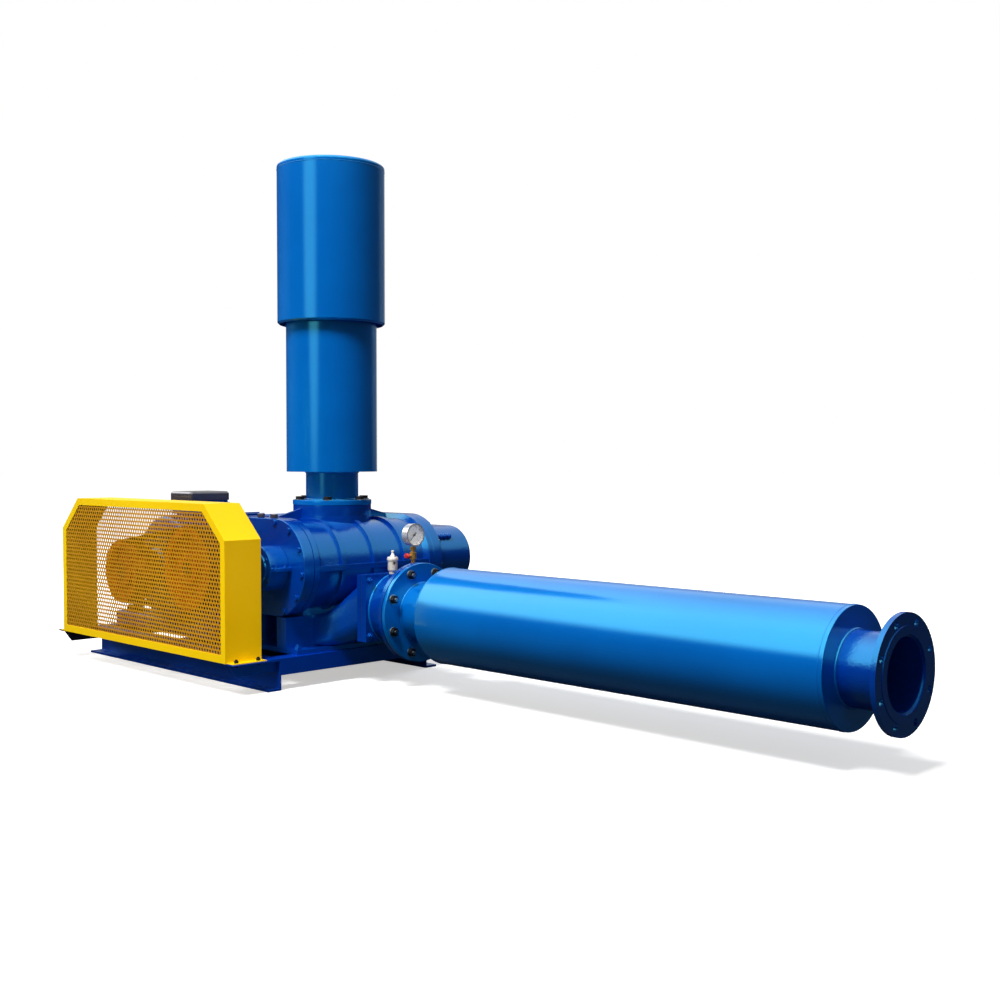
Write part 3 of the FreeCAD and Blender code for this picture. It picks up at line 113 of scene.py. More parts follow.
def joinPieces(name, pieces):
    clearSelection()
    for piece in pieces:
        piece.select_set(True)
    bpy.context.view_layer.objects.active = pieces[0]
    if len(pieces) > 1:
        bpy.ops.object.join()
    whole = bpy.context.view_layer.objects.active
    whole.name = name
    whole.data.name = name
    return whole


def copiesAt(name, model, places):
    copies = []
    for place in places:
        copy = model.copy()
        copy.data = model.data.copy()
        copy.data.transform(place)
        bpy.context.collection.objects.link(copy)
        copies.append(copy)
    bpy.data.objects.remove(model)
    return joinPieces(name, copies)


def cutAway(piece, cutter):  # the cutter is gone afterwards
    applyModifier(piece, "BOOLEAN", operation="DIFFERENCE", object=cutter)
    bpy.data.objects.remove(cutter)


def trimmed(piece, point, normal):  # what lies beyond the plane goes
    activate(piece)
    bpy.ops.object.mode_set(mode="EDIT")
    bpy.ops.mesh.select_all(action="SELECT")
    bpy.ops.mesh.bisect(plane_co=point, plane_no=normal, clear_outer=True)
    bpy.ops.object.mode_set(mode="OBJECT")


def dress(piece, material, body, slotName, *nodes):
    piece.data.materials.clear()
    piece.data.materials.append(material)
    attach(piece, body)
    if nodes:
        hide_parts(*nodes)
    return piece


def bodyOf(node):
    return frame["nodes"][node]["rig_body"]


# A CAD node's copy with its flat faces joined and its edges rounded
def refined(node, name, material, slotName, width):
    source = frame["nodes"][node]
    piece = source.copy()
    piece.data = source.data.copy()
    for key in list(piece.keys()):
        del piece[key]
    piece.parent = None
    piece.name = name
    bpy.context.collection.objects.link(piece)
    activate(piece)
    bpy.ops.object.mode_set(mode="EDIT")
    bpy.ops.mesh.select_all(action="SELECT")
    bpy.ops.mesh.remove_doubles(threshold=meshing["mergeCad"])
    bpy.ops.mesh.dissolve_limited(angle_limit=math.radians(meshing["flatWithin"]))
    bpy.ops.object.mode_set(mode="OBJECT")
    softenEdges(piece, width)
    return dress(piece, material, bodyOf(node), slotName, node)


def axisTurn(axis):
    return {"x": (0, math.radians(90), 0), "y": (math.radians(-90), 0, 0), "z": (0, 0, 0)}[axis]


# A turned piece: each ring is a radius and its place along the axis
def ringStack(name, rings, axis, centre, segments=96, closed=False, width=0.0015):
    clearSelection()
    bpy.ops.mesh.primitive_circle_add(vertices=segments, radius=rings[0][0], location=(0, 0, rings[0][1]))
    piece = bpy.context.object
    piece.name = name
    settle(piece)
    bpy.ops.object.mode_set(mode="EDIT")
    bpy.ops.mesh.select_all(action="SELECT")
    for (radius, place), (nextRadius, nextPlace) in zip(rings, rings[1:]):
        bpy.ops.mesh.extrude_edges_move(TRANSFORM_OT_translate={"value": (0, 0, nextPlace - place)})
        ratio = nextRadius / radius
        bpy.ops.transform.resize(value=(ratio, ratio, 1), center_override=(0, 0, nextPlace))
    if not closed:  # both ends get a cap
        bpy.ops.mesh.edge_face_add()
        bpy.ops.mesh.select_all(action="DESELECT")
        bpy.ops.mesh.select_mode(type="EDGE")
        bpy.ops.mesh.select_non_manifold(extend=False)
        bpy.ops.mesh.edge_face_add()
        bpy.ops.mesh.select_mode(type="VERT")
    bpy.ops.object.mode_set(mode="OBJECT")
    faceOutwards(piece)
    piece.rotation_euler = axisTurn(axis)
    piece.location = centre
    settle(piece)
    softenEdges(piece, width)
    return piece


# Paints and finishes

def srgb(red, green, blue):
    def linear(value):
        share = value / 255
        return share / 12.92 if share <= 0.04045 else ((share + 0.055) / 1.055) ** 2.4
    return (linear(red), linear(green), linear(blue), 1)


groupOutputs = (("Color", "NodeSocketColor"), ("Roughness", "NodeSocketFloat"),
                ("Normal", "NodeSocketVector"))


def newGroup(name, inputs):
    group = bpy.data.node_groups.new(name, "ShaderNodeTree")
    for socketName, kind, value in inputs:
        socket = group.interface.new_socket(socketName, in_out="INPUT", socket_type=kind)
        socket.default_value = value
    for socketName, kind in groupOutputs:
        group.interface.new_socket(socketName, in_out="OUTPUT", socket_type=kind)
    return group


class Tree:  # short words for adding nodes and wires
    def __init__(self, tree):
        self.tree = tree
        self.step = 0

    def node(self, kind, **values):
        made = self.tree.nodes.new(kind)
        made.location = (200 * self.step, 0)
        self.step += 1
        for key, value in values.items():
            setattr(made, key, value)
        return made

    def wire(self, start, end):
        self.tree.links.new(start, end)

    def feed(self, socket, value):  # a number or colour is set, an output is wired
        if isinstance(value, (int, float, tuple)):
            socket.default_value = value
        else:
            self.wire(value, socket)

    def noise(self, place, scale, detail=3, roughness=0.55):
        made = self.node("ShaderNodeTexNoise")
        self.wire(place, made.inputs["Vector"])
        for key, value in (("Scale", scale), ("Detail", detail), ("Roughness", roughness)):
            self.feed(made.inputs[key], value)
        return made.outputs["Fac"]

    def spread(self, value, low, high, newLow=0.0, newHigh=1.0, smooth=False):
        kind = "SMOOTHSTEP" if smooth else "LINEAR"
        made = self.node("ShaderNodeMapRange", clamp=True, interpolation_type=kind)
        self.wire(value, made.inputs["Value"])
        for key, end in (("From Min", low), ("From Max", high), ("To Min", newLow), ("To Max", newHigh)):
            self.feed(made.inputs[key], end)
        return made.outputs["Result"]

    def compute(self, kind, first, second):
        made = self.node("ShaderNodeMath", operation=kind)
        self.feed(made.inputs[0], first)
        self.feed(made.inputs[1], second)
        return made.outputs[0]

    def blend(self, share, first, second):  # the node's colours are its sockets 6 and 7
        made = self.node("ShaderNodeMix", data_type="RGBA")
        self.feed(made.inputs[0], share)
        self.feed(made.inputs[6], first)
        self.feed(made.inputs[7], second)
        return made.outputs[2]

    def bump(self, height, strength, distance, normal=None):
        made = self.node("ShaderNodeBump")
        made.inputs["Distance"].default_value = distance
        self.wire(strength, made.inputs["Strength"])
        self.wire(height, made.inputs["Height"])
        if normal is not None:
            self.wire(normal, made.inputs["Normal"])
        return made.outputs["Normal"]

    def mixShaders(self, share, first, second):
        made = self.node("ShaderNodeMixShader")
        for socket, value in zip(made.inputs, (share, first, second)):
            self.wire(value, socket)
        return made.outputs[0]

    def finishGroup(self, color, roughness, normal):
        out = self.node("NodeGroupOutput")
        self.wire(color, out.inputs["Color"])
        self.wire(roughness, out.inputs["Roughness"])
        self.wire(normal, out.inputs["Normal"])


# The first five are noise scales, and a span is where in the noise an effect starts and is full
paintGrain = {"drift": 2.3, "specks": 620, "patches": 9, "peel": 260, "lumps": 95,
              "driftSpan": (0.35, 0.68), "speckSpan": (0.68, 0.76), "patchSpan": (0.52, 0.7),
              "peelDepth": 0.0012, "lumpDepth": 0.004,
              "dustCover": 0.5, "dustDull": 0.35, "dustTone": srgb(170, 172, 170)}


# Sprayed paint: faint colour drift, orange peel, dust specks and dull patches
def makePaintGroup():
    group = newGroup("sprayedPaint", [
        ("Light tone", "NodeSocketColor", (0, 0.1, 0.5, 1)),
        ("Deep tone", "NodeSocketColor", (0, 0.05, 0.3, 1)),
        ("Peel height", "NodeSocketFloat", 0.2), ("Casting height", "NodeSocketFloat", 0.0),
        ("Gloss", "NodeSocketFloat", 0.25), ("Dust", "NodeSocketFloat", 0.2)])
    t = Tree(group)
    given = t.node("NodeGroupInput").outputs
    place = t.node("ShaderNodeTexCoord").outputs["Object"]
    drift = t.spread(t.noise(place, paintGrain["drift"], 4), *paintGrain["driftSpan"])
    tone = t.blend(drift, given["Deep tone"], given["Light tone"])
    specks = t.spread(t.noise(place, paintGrain["specks"], 2), *paintGrain["speckSpan"])
    dusty = t.compute("MULTIPLY", t.compute("MULTIPLY", specks, given["Dust"]), paintGrain["dustCover"])
    tone = t.blend(dusty, tone, paintGrain["dustTone"])
    patches = t.spread(t.noise(place, paintGrain["patches"], 5, 0.65), *paintGrain["patchSpan"])
    dull = t.compute("MULTIPLY", patches, t.compute("MULTIPLY", given["Dust"], paintGrain["dustDull"]))
    rough = t.compute("ADD", given["Gloss"], dull)
    peel = t.noise(place, paintGrain["peel"], 2)
    lumps = t.noise(place, paintGrain["lumps"], 5, 0.6)
    normal = t.bump(peel, given["Peel height"], paintGrain["peelDepth"])
    normal = t.bump(lumps, given["Casting height"], paintGrain["lumpDepth"], normal)
    t.finishGroup(tone, rough, normal)
    return group


metalGrain = {"scale": 480, "share": 0.3, "depth": 0.0015, "patchSpan": (0.4, 0.62), "grainSpan": (0.3, 0.75),
              "polishSpan": (0.3, 0.7)}


# Bare or rusty metal: two tones in patches, with grain in colour, polish and relief
def makeMetalGroup():
    group = newGroup("wornMetal", [
        ("First tone", "NodeSocketColor", (0.5, 0.5, 0.5, 1)),
        ("Second tone", "NodeSocketColor", (0.3, 0.3, 0.3, 1)),
        ("Patch scale", "NodeSocketFloat", 18.0), ("Relief", "NodeSocketFloat", 0.2),
        ("Smoothest", "NodeSocketFloat", 0.3), ("Dullest", "NodeSocketFloat", 0.5)])
    t = Tree(group)
    given = t.node("NodeGroupInput").outputs
    place = t.node("ShaderNodeTexCoord").outputs["Object"]
    wide = t.noise(place, given["Patch scale"], 6, 0.68)
    patches = t.spread(wide, *metalGrain["patchSpan"])
    tone = t.blend(patches, given["First tone"], given["Second tone"])
    grain = t.noise(place, metalGrain["scale"], 4, 0.7)
    specks = t.spread(grain, *metalGrain["grainSpan"], 0.0, metalGrain["share"])
    tone = t.blend(specks, tone, given["Second tone"])
    rough = t.spread(wide, *metalGrain["polishSpan"], given["Smoothest"], given["Dullest"])
    t.finishGroup(tone, rough, t.bump(grain, given["Relief"], metalGrain["depth"]))
    return group


paintGroup = makePaintGroup()
metalGroup = makeMetalGroup()


def groupMaterial(name, group, inputs, fixed):
    material = bpy.data.materials.new(name)
    material.use_nodes = True
    material.node_tree.nodes.clear()
    t = Tree(material.node_tree)
    made = t.node("ShaderNodeGroup", node_tree=group)
    for key, value in inputs.items():
        made.inputs[key].default_value = value
    shader = t.node("ShaderNodeBsdfPrincipled")
    for key, value in fixed.items():
        shader.inputs[key].default_value = value
    t.wire(made.outputs["Color"], shader.inputs["Base Color"])
    t.wire(made.outputs["Roughness"], shader.inputs["Roughness"])
    t.wire(made.outputs["Normal"], shader.inputs["Normal"])
    out = t.node("ShaderNodeOutputMaterial")
    t.wire(shader.outputs["BSDF"], out.inputs["Surface"])
    return material


def paint(name, light, deep, peel=0.12, casting=0.0, gloss=0.24, dust=0.15, coat=0.6,
          sheen=(1, 1, 1, 1), ior=1.5):
    return groupMaterial(name, paintGroup,
                         {"Light tone": light, "Deep tone": deep, "Peel height": peel,
                          "Casting height": casting, "Gloss": gloss, "Dust": dust},
                         {"Coat Weight": coat, "Coat Roughness": 0.06, "IOR": ior, "Specular Tint": sheen})


def metal(name, first, second, patch=18.0, relief=0.2, smoothest=0.3, dullest=0.5, metallic=1.0):
    return groupMaterial(name, metalGroup,
                         {"First tone": first, "Second tone": second, "Patch scale": patch,
                          "Relief": relief, "Smoothest": smoothest, "Dullest": dullest},
                         {"Metallic": metallic})


def glass(name, tint, opacity):
    return groupMaterial(name, paintGroup,
                         {"Light tone": tint, "Deep tone": tint, "Peel height": 0.02,
                          "Gloss": 0.03, "Dust": 0.02},
                         {"Transmission Weight": 1.0, "IOR": 1.45, "Alpha": opacity})


skyTint = (0.1, 0.84, 1.0, 1)
castTint = (0.1, 0.7, 1.0, 1)
finish = {
    "sheetBlue": paint("sheetBlue", srgb(0, 108, 203), srgb(0, 99, 190), peel=0.08, gloss=0.16, dust=0.03,
                       coat=0.1, sheen=skyTint, ior=2.3),
    "castBlue": paint("castBlue", srgb(0, 62, 168), srgb(0, 50, 146), casting=0.2, gloss=0.17, dust=0.02,
                      coat=0.03, sheen=castTint, ior=2.35),
    "baseBlue": paint("baseBlue", srgb(0, 52, 168), srgb(0, 42, 140), gloss=0.3, dust=0.12, coat=0.05,
                      sheen=skyTint, ior=1.8),
    "motorBlue": paint("motorBlue", srgb(0, 70, 168), srgb(0, 56, 144), casting=0.12, gloss=0.3, dust=0.12,
                       coat=0.1, sheen=skyTint, ior=1.9),
    "guardYellow": paint("guardYellow", srgb(241, 206, 2), srgb(238, 198, 1), gloss=0.38, dust=0.02, coat=0.0,
                         sheen=(1, 0.8, 0.2, 1)),
    # The perforated sheet is the guard's own yellow darkened, as painted shade on its thin strands
    "meshYellowPaintedShade": paint("meshYellowPaintedShade", srgb(192, 140, 12), srgb(172, 120, 8), gloss=0.4, dust=0.1, coat=0.0),
    # The black lid and caps have their base colour lifted to grey, a painted reflection of the sky on their
    # gloss
    "blackCoverPaintedSheen": paint("blackCoverPaintedSheen", srgb(70, 68, 78), srgb(58, 56, 66), gloss=0.24, dust=0.2, coat=1.0),
    "blackPlastic": paint("blackPlastic", srgb(24, 24, 25), srgb(16, 16, 17), peel=0.4, gloss=0.42, dust=0.3,
                          coat=0.0),
    "bracketBlack": paint("bracketBlack", srgb(24, 28, 36), srgb(16, 19, 26), gloss=0.38, dust=0.4, coat=0.2),
    "beltRubber": paint("beltRubber", srgb(34, 33, 31), srgb(24, 23, 22), peel=0.7, gloss=0.62, dust=0.8,
                        coat=0.0),
    "sealRubber": paint("sealRubber", srgb(30, 30, 30), srgb(22, 22, 22), peel=0.3, gloss=0.55, dust=0.3,
                        coat=0.0),
    "gasketFibre": paint("gasketFibre", srgb(16, 34, 72), srgb(10, 22, 50), peel=0.8, gloss=0.7, dust=0.1,
                         coat=0.0),
    "redHandle": paint("redHandle", srgb(196, 26, 20), srgb(172, 18, 16), gloss=0.3, dust=0.2, coat=0.3),
    "dialWhite": paint("dialWhite", srgb(250, 249, 246), srgb(246, 245, 242), peel=0.05, gloss=0.5, dust=0.02,
                       coat=0.0),
    "pointerBlack": paint("pointerBlack", srgb(18, 18, 18), srgb(12, 12, 12), peel=0.05, gloss=0.4, dust=0.0,
                          coat=0.0),
    "blackBolt": metal("blackBolt", srgb(58, 58, 62), srgb(34, 34, 36), 60, 0.25, 0.3, 0.5, 0.85),
    "zincBolt": metal("zincBolt", srgb(196, 196, 192), srgb(150, 148, 142), 60, 0.2, 0.25, 0.45),
    "turnedSteel": metal("turnedSteel", srgb(188, 188, 190), srgb(150, 150, 152), 30, 0.12, 0.22, 0.36),
    "coreSteel": metal("coreSteel", srgb(120, 118, 114), srgb(86, 82, 78), 22, 0.4, 0.4, 0.6),
    "castRotor": metal("castRotor", srgb(132, 130, 126), srgb(104, 100, 96), 22, 0.3, 0.35, 0.5),
    "pulleyRust": metal("pulleyRust", srgb(238, 126, 36), srgb(184, 80, 24), 26, 0.9, 0.6, 0.85, 0.0),
    "valveNickel": metal("valveNickel", srgb(244, 243, 238), srgb(226, 224, 216), 40, 0.15, 0.3, 0.42, 0.35),
    "brass": metal("brass", srgb(214, 170, 88), srgb(184, 134, 60), 45, 0.2, 0.28, 0.42, 0.7),
    "gaugeSteel": metal("gaugeSteel", srgb(228, 226, 226), srgb(204, 202, 204), 30, 0.08, 0.22, 0.34, 0.6),
    "gaugeGlass": glass("gaugeGlass", srgb(250, 252, 252), 0.35),
    "sightGlass": glass("sightGlass", srgb(226, 206, 150), 0.9),
}
print("finishes made")

slotFinish = {
    "blue_paint": "sheetBlue", "base_paint_dark": "baseBlue", "yellow_paint": "guardYellow",
    "motor_paint": "motorBlue", "black_steel": "blackBolt", "machined_steel": "turnedSteel",
    "core_steel": "coreSteel", "cast_rotor": "castRotor", "rusted_iron": "pulleyRust",
    "belt_rubber": "beltRubber", "seal_rubber": "sealRubber", "gasket_fibre": "gasketFibre",
    "black_gloss": "blackCoverPaintedSheen", "black_plastic": "blackPlastic", "plated_valve": "valveNickel",
    "cock_brass": "brass", "red_plastic": "redHandle", "gauge_steel": "gaugeSteel",
    "dial_white": "dialWhite", "needle_black": "pointerBlack", "gauge_glass": "gaugeGlass",
    "sight_glass": "sightGlass"}
boltSlot = {"blackBolt": "black_steel", "zincBolt": "machined_steel", "castBlue": "blue_paint"}

nodeSlot = {row["node"]: row["material_slot"] for row in frame["record"]["subparts"]}
for node, piece in frame["nodes"].items():
    wanted = finish[slotFinish[nodeSlot[node]]]
    for number in range(max(1, len(piece.data.materials))):
        if piece.data.materials:
            piece.data.materials[number] = wanted
        else:
            piece.data.materials.append(wanted)


# Camera, floor and light

camera = {"place": (4.5615, -3.074, 0.862), "pitchDown": 1.83, "turn": 45, "lens": 45.04, "sensor": 36,
          "farthest": 200}
lookAlong = (math.radians(90 - camera["pitchDown"]), 0, math.radians(camera["turn"]))
bpy.ops.object.camera_add(location=camera["place"], rotation=lookAlong)
eye = bpy.context.object
eye.data.lens = camera["lens"]
eye.data.sensor_width = camera["sensor"]
eye.data.clip_end = camera["farthest"]
bpy.context.scene.camera = eye
bpy.context.scene.view_settings.view_transform = "Standard"

backdrop = {"size": 120, "place": (1.1, 0, 0), "tone": (0.78, 0.78, 0.78, 1), "worn": (0.81, 0.81, 0.81, 1),
            "wear": 0.4, "wearSpan": (0.3, 0.7), "dim": (0.035, 0.04, 0.05, 1),
            "nearGlow": 0.5, "farGlow": 0.95, "glowFrom": 1.5, "glowTo": 7.0}


def seenDirectly(t, path):  # by the eye or through glass
    return t.compute("MAXIMUM", path["Is Camera Ray"], path["Is Transmission Ray"])


# The floor is pale to the eye and dark to bounced and mirrored light
def makeBackdrop():
    material = bpy.data.materials.new("studioFloor")
    material.use_nodes = True
    material.node_tree.nodes.clear()
    t = Tree(material.node_tree)
    seen = seenDirectly(t, t.node("ShaderNodeLightPath").outputs)
    place = t.node("ShaderNodeTexCoord").outputs["Object"]
    wear = t.spread(t.noise(place, backdrop["wear"], 2), *backdrop["wearSpan"])
    shade = t.blend(wear, backdrop["tone"], backdrop["worn"])
    pale = t.node("ShaderNodeBsdfDiffuse")
    t.wire(shade, pale.inputs["Color"])
    reach = t.node("ShaderNodeVectorMath", operation="LENGTH")
    t.wire(place, reach.inputs[0])
    glow = t.node("ShaderNodeEmission")
    brightness = t.spread(reach.outputs["Value"], backdrop["glowFrom"], backdrop["glowTo"],
                          backdrop["nearGlow"], backdrop["farGlow"])
    t.wire(brightness, glow.inputs["Strength"])
    both = t.node("ShaderNodeAddShader")
    t.wire(pale.outputs[0], both.inputs[0])
    t.wire(glow.outputs[0], both.inputs[1])
    dim = t.node("ShaderNodeBsdfDiffuse")
    dim.inputs["Color"].default_value = backdrop["dim"]
    out = t.node("ShaderNodeOutputMaterial")
    t.wire(t.mixShaders(seen, dim.outputs[0], both.outputs[0]), out.inputs["Surface"])
    return material


bpy.ops.mesh.primitive_plane_add(size=backdrop["size"], location=backdrop["place"])
floor = bpy.context.object
floor.name = "studioFloor"
floor.data.materials.append(makeBackdrop())

air = {"bright": 0.15, "gloom": 0.04, "backdrop": 1.0,
       "ceiling": 2.85, "ceilingFrom": 0.24, "ceilingTo": 0.44, "front": -0.2, "back": 0.5, "backShare": 0.36}
# Strips of light in the mirrored air: direction, where each starts and is full, strength
airStrips = {"tallLeft": ((0.12, -0.97, 0.21), 0.955, 0.992, 1.3),
             "faintBack": ((-0.3, 0.94, 0.1), 0.9, 0.97, 0.14),
             "horizon": ((-0.7, 0.7, 0.1), 0.93, 0.99, 0.4)}


# Gloss mirrors a bright ceiling and three strips, all of them in the air
def mirroredAir(t):
    facing = t.node("ShaderNodeTexCoord").outputs["Generated"]
    parts = t.node("ShaderNodeSeparateXYZ")
    t.wire(facing, parts.inputs[0])
    ceiling = t.spread(parts.outputs["Z"], air["ceilingFrom"], air["ceilingTo"], 0, air["ceiling"],
                       smooth=True)
    backwards = t.spread(parts.outputs["Y"], air["front"], air["back"], 1.0, air["backShare"])
    total = t.compute("ADD", t.compute("MULTIPLY", ceiling, backwards), air["gloom"])
    for aim, start, full, strength in airStrips.values():
        near = t.node("ShaderNodeVectorMath", operation="DOT_PRODUCT")
        near.inputs[1].default_value = aim
        t.wire(facing, near.inputs[0])
        strip = t.spread(near.outputs["Value"], start, full, 0, strength, smooth=True)
        total = t.compute("ADD", total, strip)
    return total


def airLight(t, strength):
    light = t.node("ShaderNodeBackground")
    light.inputs["Color"].default_value = (1, 1, 1, 1)
    t.feed(light.inputs["Strength"], strength)
    return light.outputs[0]


def makeWorld():
    world = bpy.data.worlds.new("studioAir")
    world.use_nodes = True
    world.node_tree.nodes.clear()
    t = Tree(world.node_tree)
    path = t.node("ShaderNodeLightPath").outputs
    onObject = t.mixShaders(path["Is Glossy Ray"], airLight(t, air["bright"]), airLight(t, mirroredAir(t)))
    out = t.node("ShaderNodeOutputWorld")
    t.wire(t.mixShaders(seenDirectly(t, path), onObject, airLight(t, air["backdrop"])), out.inputs["Surface"])
    bpy.context.scene.world = world


makeWorld()


def addLamp(name, place, aim, size, power, tint=(1, 1, 1), spread=180):
    direction = Vector(aim) - Vector(place)
    turn = direction.to_track_quat("-Z", "Y").to_euler()
    bpy.ops.object.light_add(type="AREA", location=place, rotation=turn)
    light = bpy.context.object
    light.name = name
    light.data.shape = "RECTANGLE"
    light.data.size = size[0]
    light.data.size_y = size[1]
    light.data.energy = power
    light.data.color = tint
    light.data.spread = math.radians(spread)
    light.visible_glossy = False  # the air does the mirroring


lamps = {
    "keyLamp": {"place": (2.2, -4.8, 9.0), "aim": (1.0, 0, 0.5), "size": (3.0, 3.0), "power": 1330},
    "leftLamp": {"place": (-4.4, -1.8, 2.3), "aim": (1.0, 0, 0.5), "size": (3.0, 2.4), "power": 140},
    "backLamp": {"place": (-0.8, 5.4, 2.3), "aim": (1.0, 0, 0.5), "size": (3.0, 2.4), "power": 160},
    "guardFront": {"place": (-0.5, -3.6, 1.1), "aim": (0.15, -0.58, 0.42), "size": (0.5, 0.5), "power": 2.9,
                   "tint": (1, 0.86, 0.5), "spread": 60},
    "guardSide": {"place": (3.2, -1.35, 0.55), "aim": (0.65, -0.5, 0.41), "size": (0.4, 0.4), "power": 0.95,
                  "tint": (1, 0.66, 0.3), "spread": 32}}
for name, settings in lamps.items():
    addLamp(name, **settings)
print("studio ready")


# CAD nodes with rounded edges: node, piece, finish and edge width

for node, name, material, width in (
        ("base_channels", "baseChannels", "baseBlue", 0.0025),
        ("side_angles", "sideAngles", "baseBlue", 0.002),
        ("inner_beams", "innerBeams", "baseBlue", 0.002),
        ("motor_rails", "motorRails", "baseBlue", 0.003),
        ("motor_jack_screws", "jackScrews", "blackBolt", 0.001),
        ("foot_bolts", "footBolts", "castBlue", 0.001),
        ("guard_bolts", "guardBolts", "blackBolt", 0.0006),
        ("guard_shell", "guardShell", "guardYellow", 0.0008),
        ("motor_frame", "motorFrame", "motorBlue", 0.0015),
        ("motor_drive_shield", "driveShield", "motorBlue", 0.003),
        ("motor_rear_shield", "rearShield", "motorBlue", 0.003),
        ("motor_fan_cover", "fanCover", "motorBlue", 0.0008),
        ("terminal_box", "terminalBox", "motorBlue", 0.002),
        ("terminal_box_lid", "terminalLid", "blackCoverPaintedSheen", 0.004),
        ("cable_glands", "cableGlands", "blackPlastic", 0.001),
        ("motor_pulley", "motorPulley", "pulleyRust", 0.0008),
        ("blower_pulley", "blowerPulley", "pulleyRust", 0.0008),
        ("v_belts", "vBelts", "beltRubber", 0.0006),
        ("rotor_casing", "rotorCasing", "castBlue", 0.004),
        ("drive_end_plate", "driveEndPlate", "castBlue", 0.005),
        ("gear_end_plate", "gearEndPlate", "castBlue", 0.005),
        ("end_plate_bolts", "endPlateBolts", "castBlue", 0.001),
        ("drive_bearing_housing", "driveHousing", "castBlue", 0.003),
        ("driven_bearing_housing", "drivenHousing", "castBlue", 0.003),
        ("gear_cover", "gearCover", "castBlue", 0.004),
        ("oil_filler_caps", "fillerCaps", "blackCoverPaintedSheen", 0.003),
        ("oil_sight_glasses", "sightGlasses", "sightGlass", 0.0015),
        ("discharge_base", "dischargeCasting", "castBlue", 0.004),
        ("outlet_branch", "outletBranch", "castBlue", 0.003),
        ("silencer_inlet_neck", "silencerInletNeck", "sheetBlue", 0.003),
        ("silencer_shell", "silencerShell", "sheetBlue", 0.007),
        ("intake_neck", "intakeNeck", "sheetBlue", 0.0025),
        ("intake_body", "intakeBody", "sheetBlue", 0.0012),
        ("intake_hood", "intakeHood", "sheetBlue", 0.0014),
        ("intake_lid", "intakeLid", "sheetBlue", 0.003),
        ("gauge_cock", "gaugeCock", "brass", 0.0015),
        ("gauge_case", "gaugeCase", "gaugeSteel", 0.0012)):
    refined(node, name, finish[material], nodeSlot[node], width)

# The left bracket is black and the right one blue
leftBracket = refined("guard_brackets", "leftBracket", finish["bracketBlack"], nodeSlot["guard_brackets"],
                      width=0.001)
rightBracket = bpy.data.objects.new("rightBracket", leftBracket.data.copy())
bpy.context.collection.objects.link(rightBracket)
trimmed(leftBracket, (0, 0, 0), (1, 0, 0))
trimmed(rightBracket, (0, 0, 0), (-1, 0, 0))
dress(rightBracket, finish["baseBlue"], bodyOf("guard_brackets"), nodeSlot["guard_brackets"])
print("CAD nodes rounded")


# Bolts: one head is modelled for each set and copied to its seats

aimed = {"+x": Matrix.Rotation(math.radians(90), 4, "Y"), "-x": Matrix.Rotation(math.radians(-90), 4, "Y"),
         "+y": Matrix.Rotation(math.radians(-90), 4, "X"), "-y": Matrix.Rotation(math.radians(90), 4, "X"),
         "+z": Matrix.Identity(4)}


def drum(name, radius, low, high, sides, width, steps=2):
    clearSelection()
    bpy.ops.mesh.primitive_cylinder_add(vertices=sides, radius=radius, depth=high - low,
                                        location=(0, 0, (low + high) / 2))
    piece = bpy.context.object
    piece.name = name
    settle(piece)
    softenEdges(piece, width, steps)
    return piece


def circleOn(axis, centre, count, radius, turn):  # points round an axis, the first at the turn
    points = []
    for k in range(count):
        angle = math.radians(turn + 360 * k / count)
        across = [radius * math.cos(angle), radius * math.sin(angle)]
        across.insert("xyz".index(axis), 0)
        points.append(tuple(middle + step for middle, step in zip(centre, across)))
    return points


def seats(places, axis):
    return [Matrix.Translation(Vector(place)) @ aimed[axis] for place in places]


boltShape = {"headSides": 6, "headEdge": 0.001, "washerSpread": 1.14, "washerSides": 28, "washerEdge": 0.0004,
             "tipSides": 20, "tipEdge": 0.0008, "tipSunk": 0.002}
darkBolts = ("blackBolt", "zincBolt")  # finish of the head, finish of washer and tip
paintedBolts = ("castBlue", "castBlue")


def boltSet(name, places, axis, sizes, finishes, *nodes):
    headFinish, washerFinish = finishes
    top = sizes["washer"] + sizes["height"]
    head = drum(name + "Head", sizes["corner"], sizes["washer"], top,
                boltShape["headSides"], boltShape["headEdge"])
    heads = copiesAt(name + "Heads", head, seats(places, axis))
    dress(heads, finish[headFinish], "root", boltSlot[headFinish], *nodes)
    lower = [drum(name + "Washer", sizes["corner"] * boltShape["washerSpread"], 0, sizes["washer"],
                  boltShape["washerSides"], boltShape["washerEdge"], 1)]
    if sizes["tip"]:
        lower.append(drum(name + "Tip", sizes["tipRadius"], top - boltShape["tipSunk"], top + sizes["tip"],
                          boltShape["tipSides"], boltShape["tipEdge"]))
    washer = joinPieces(name + "Washer", lower)
    washers = copiesAt(name + "Washers", washer, seats(places, axis))
    dress(washers, finish[washerFinish], "root", boltSlot[washerFinish])


pipe = {"y": 0.072, "z": 0.283, "near": 1.0005, "far": 0.9615, "boltCircle": 0.158, "bolts": 8,
        "firstBolt": 22.5}
roundBolts = {"corner": 0.0165, "height": 0.011, "washer": 0.0025, "tip": 0.007, "tipRadius": 0.0075}
for name, x, axis, sizes, nodes in (
        ("roundNear", pipe["near"], "+x", roundBolts, ("flange_bolts",)),
        ("roundFar", pipe["far"], "-x", {**roundBolts, "tip": 0}, ())):
    ring = circleOn("x", (x, pipe["y"], pipe["z"]), pipe["bolts"], pipe["boltCircle"], pipe["firstBolt"])
    boltSet(name, ring, axis, sizes, darkBolts, *nodes)

squareBolts = {"corner": 0.012, "height": 0.008, "washer": 0.002, "tip": 0.004, "tipRadius": 0.006,
               "x": 0.847, "z": 0.296, "halfY": 0.131, "halfZ": 0.106}
boltSet("squareFlange", [(squareBolts["x"], pipe["y"] + a * squareBolts["halfY"],
                          squareBolts["z"] + b * squareBolts["halfZ"]) for a in (-1, 1) for b in (-1, 1)],
        "+x", squareBolts, paintedBolts)

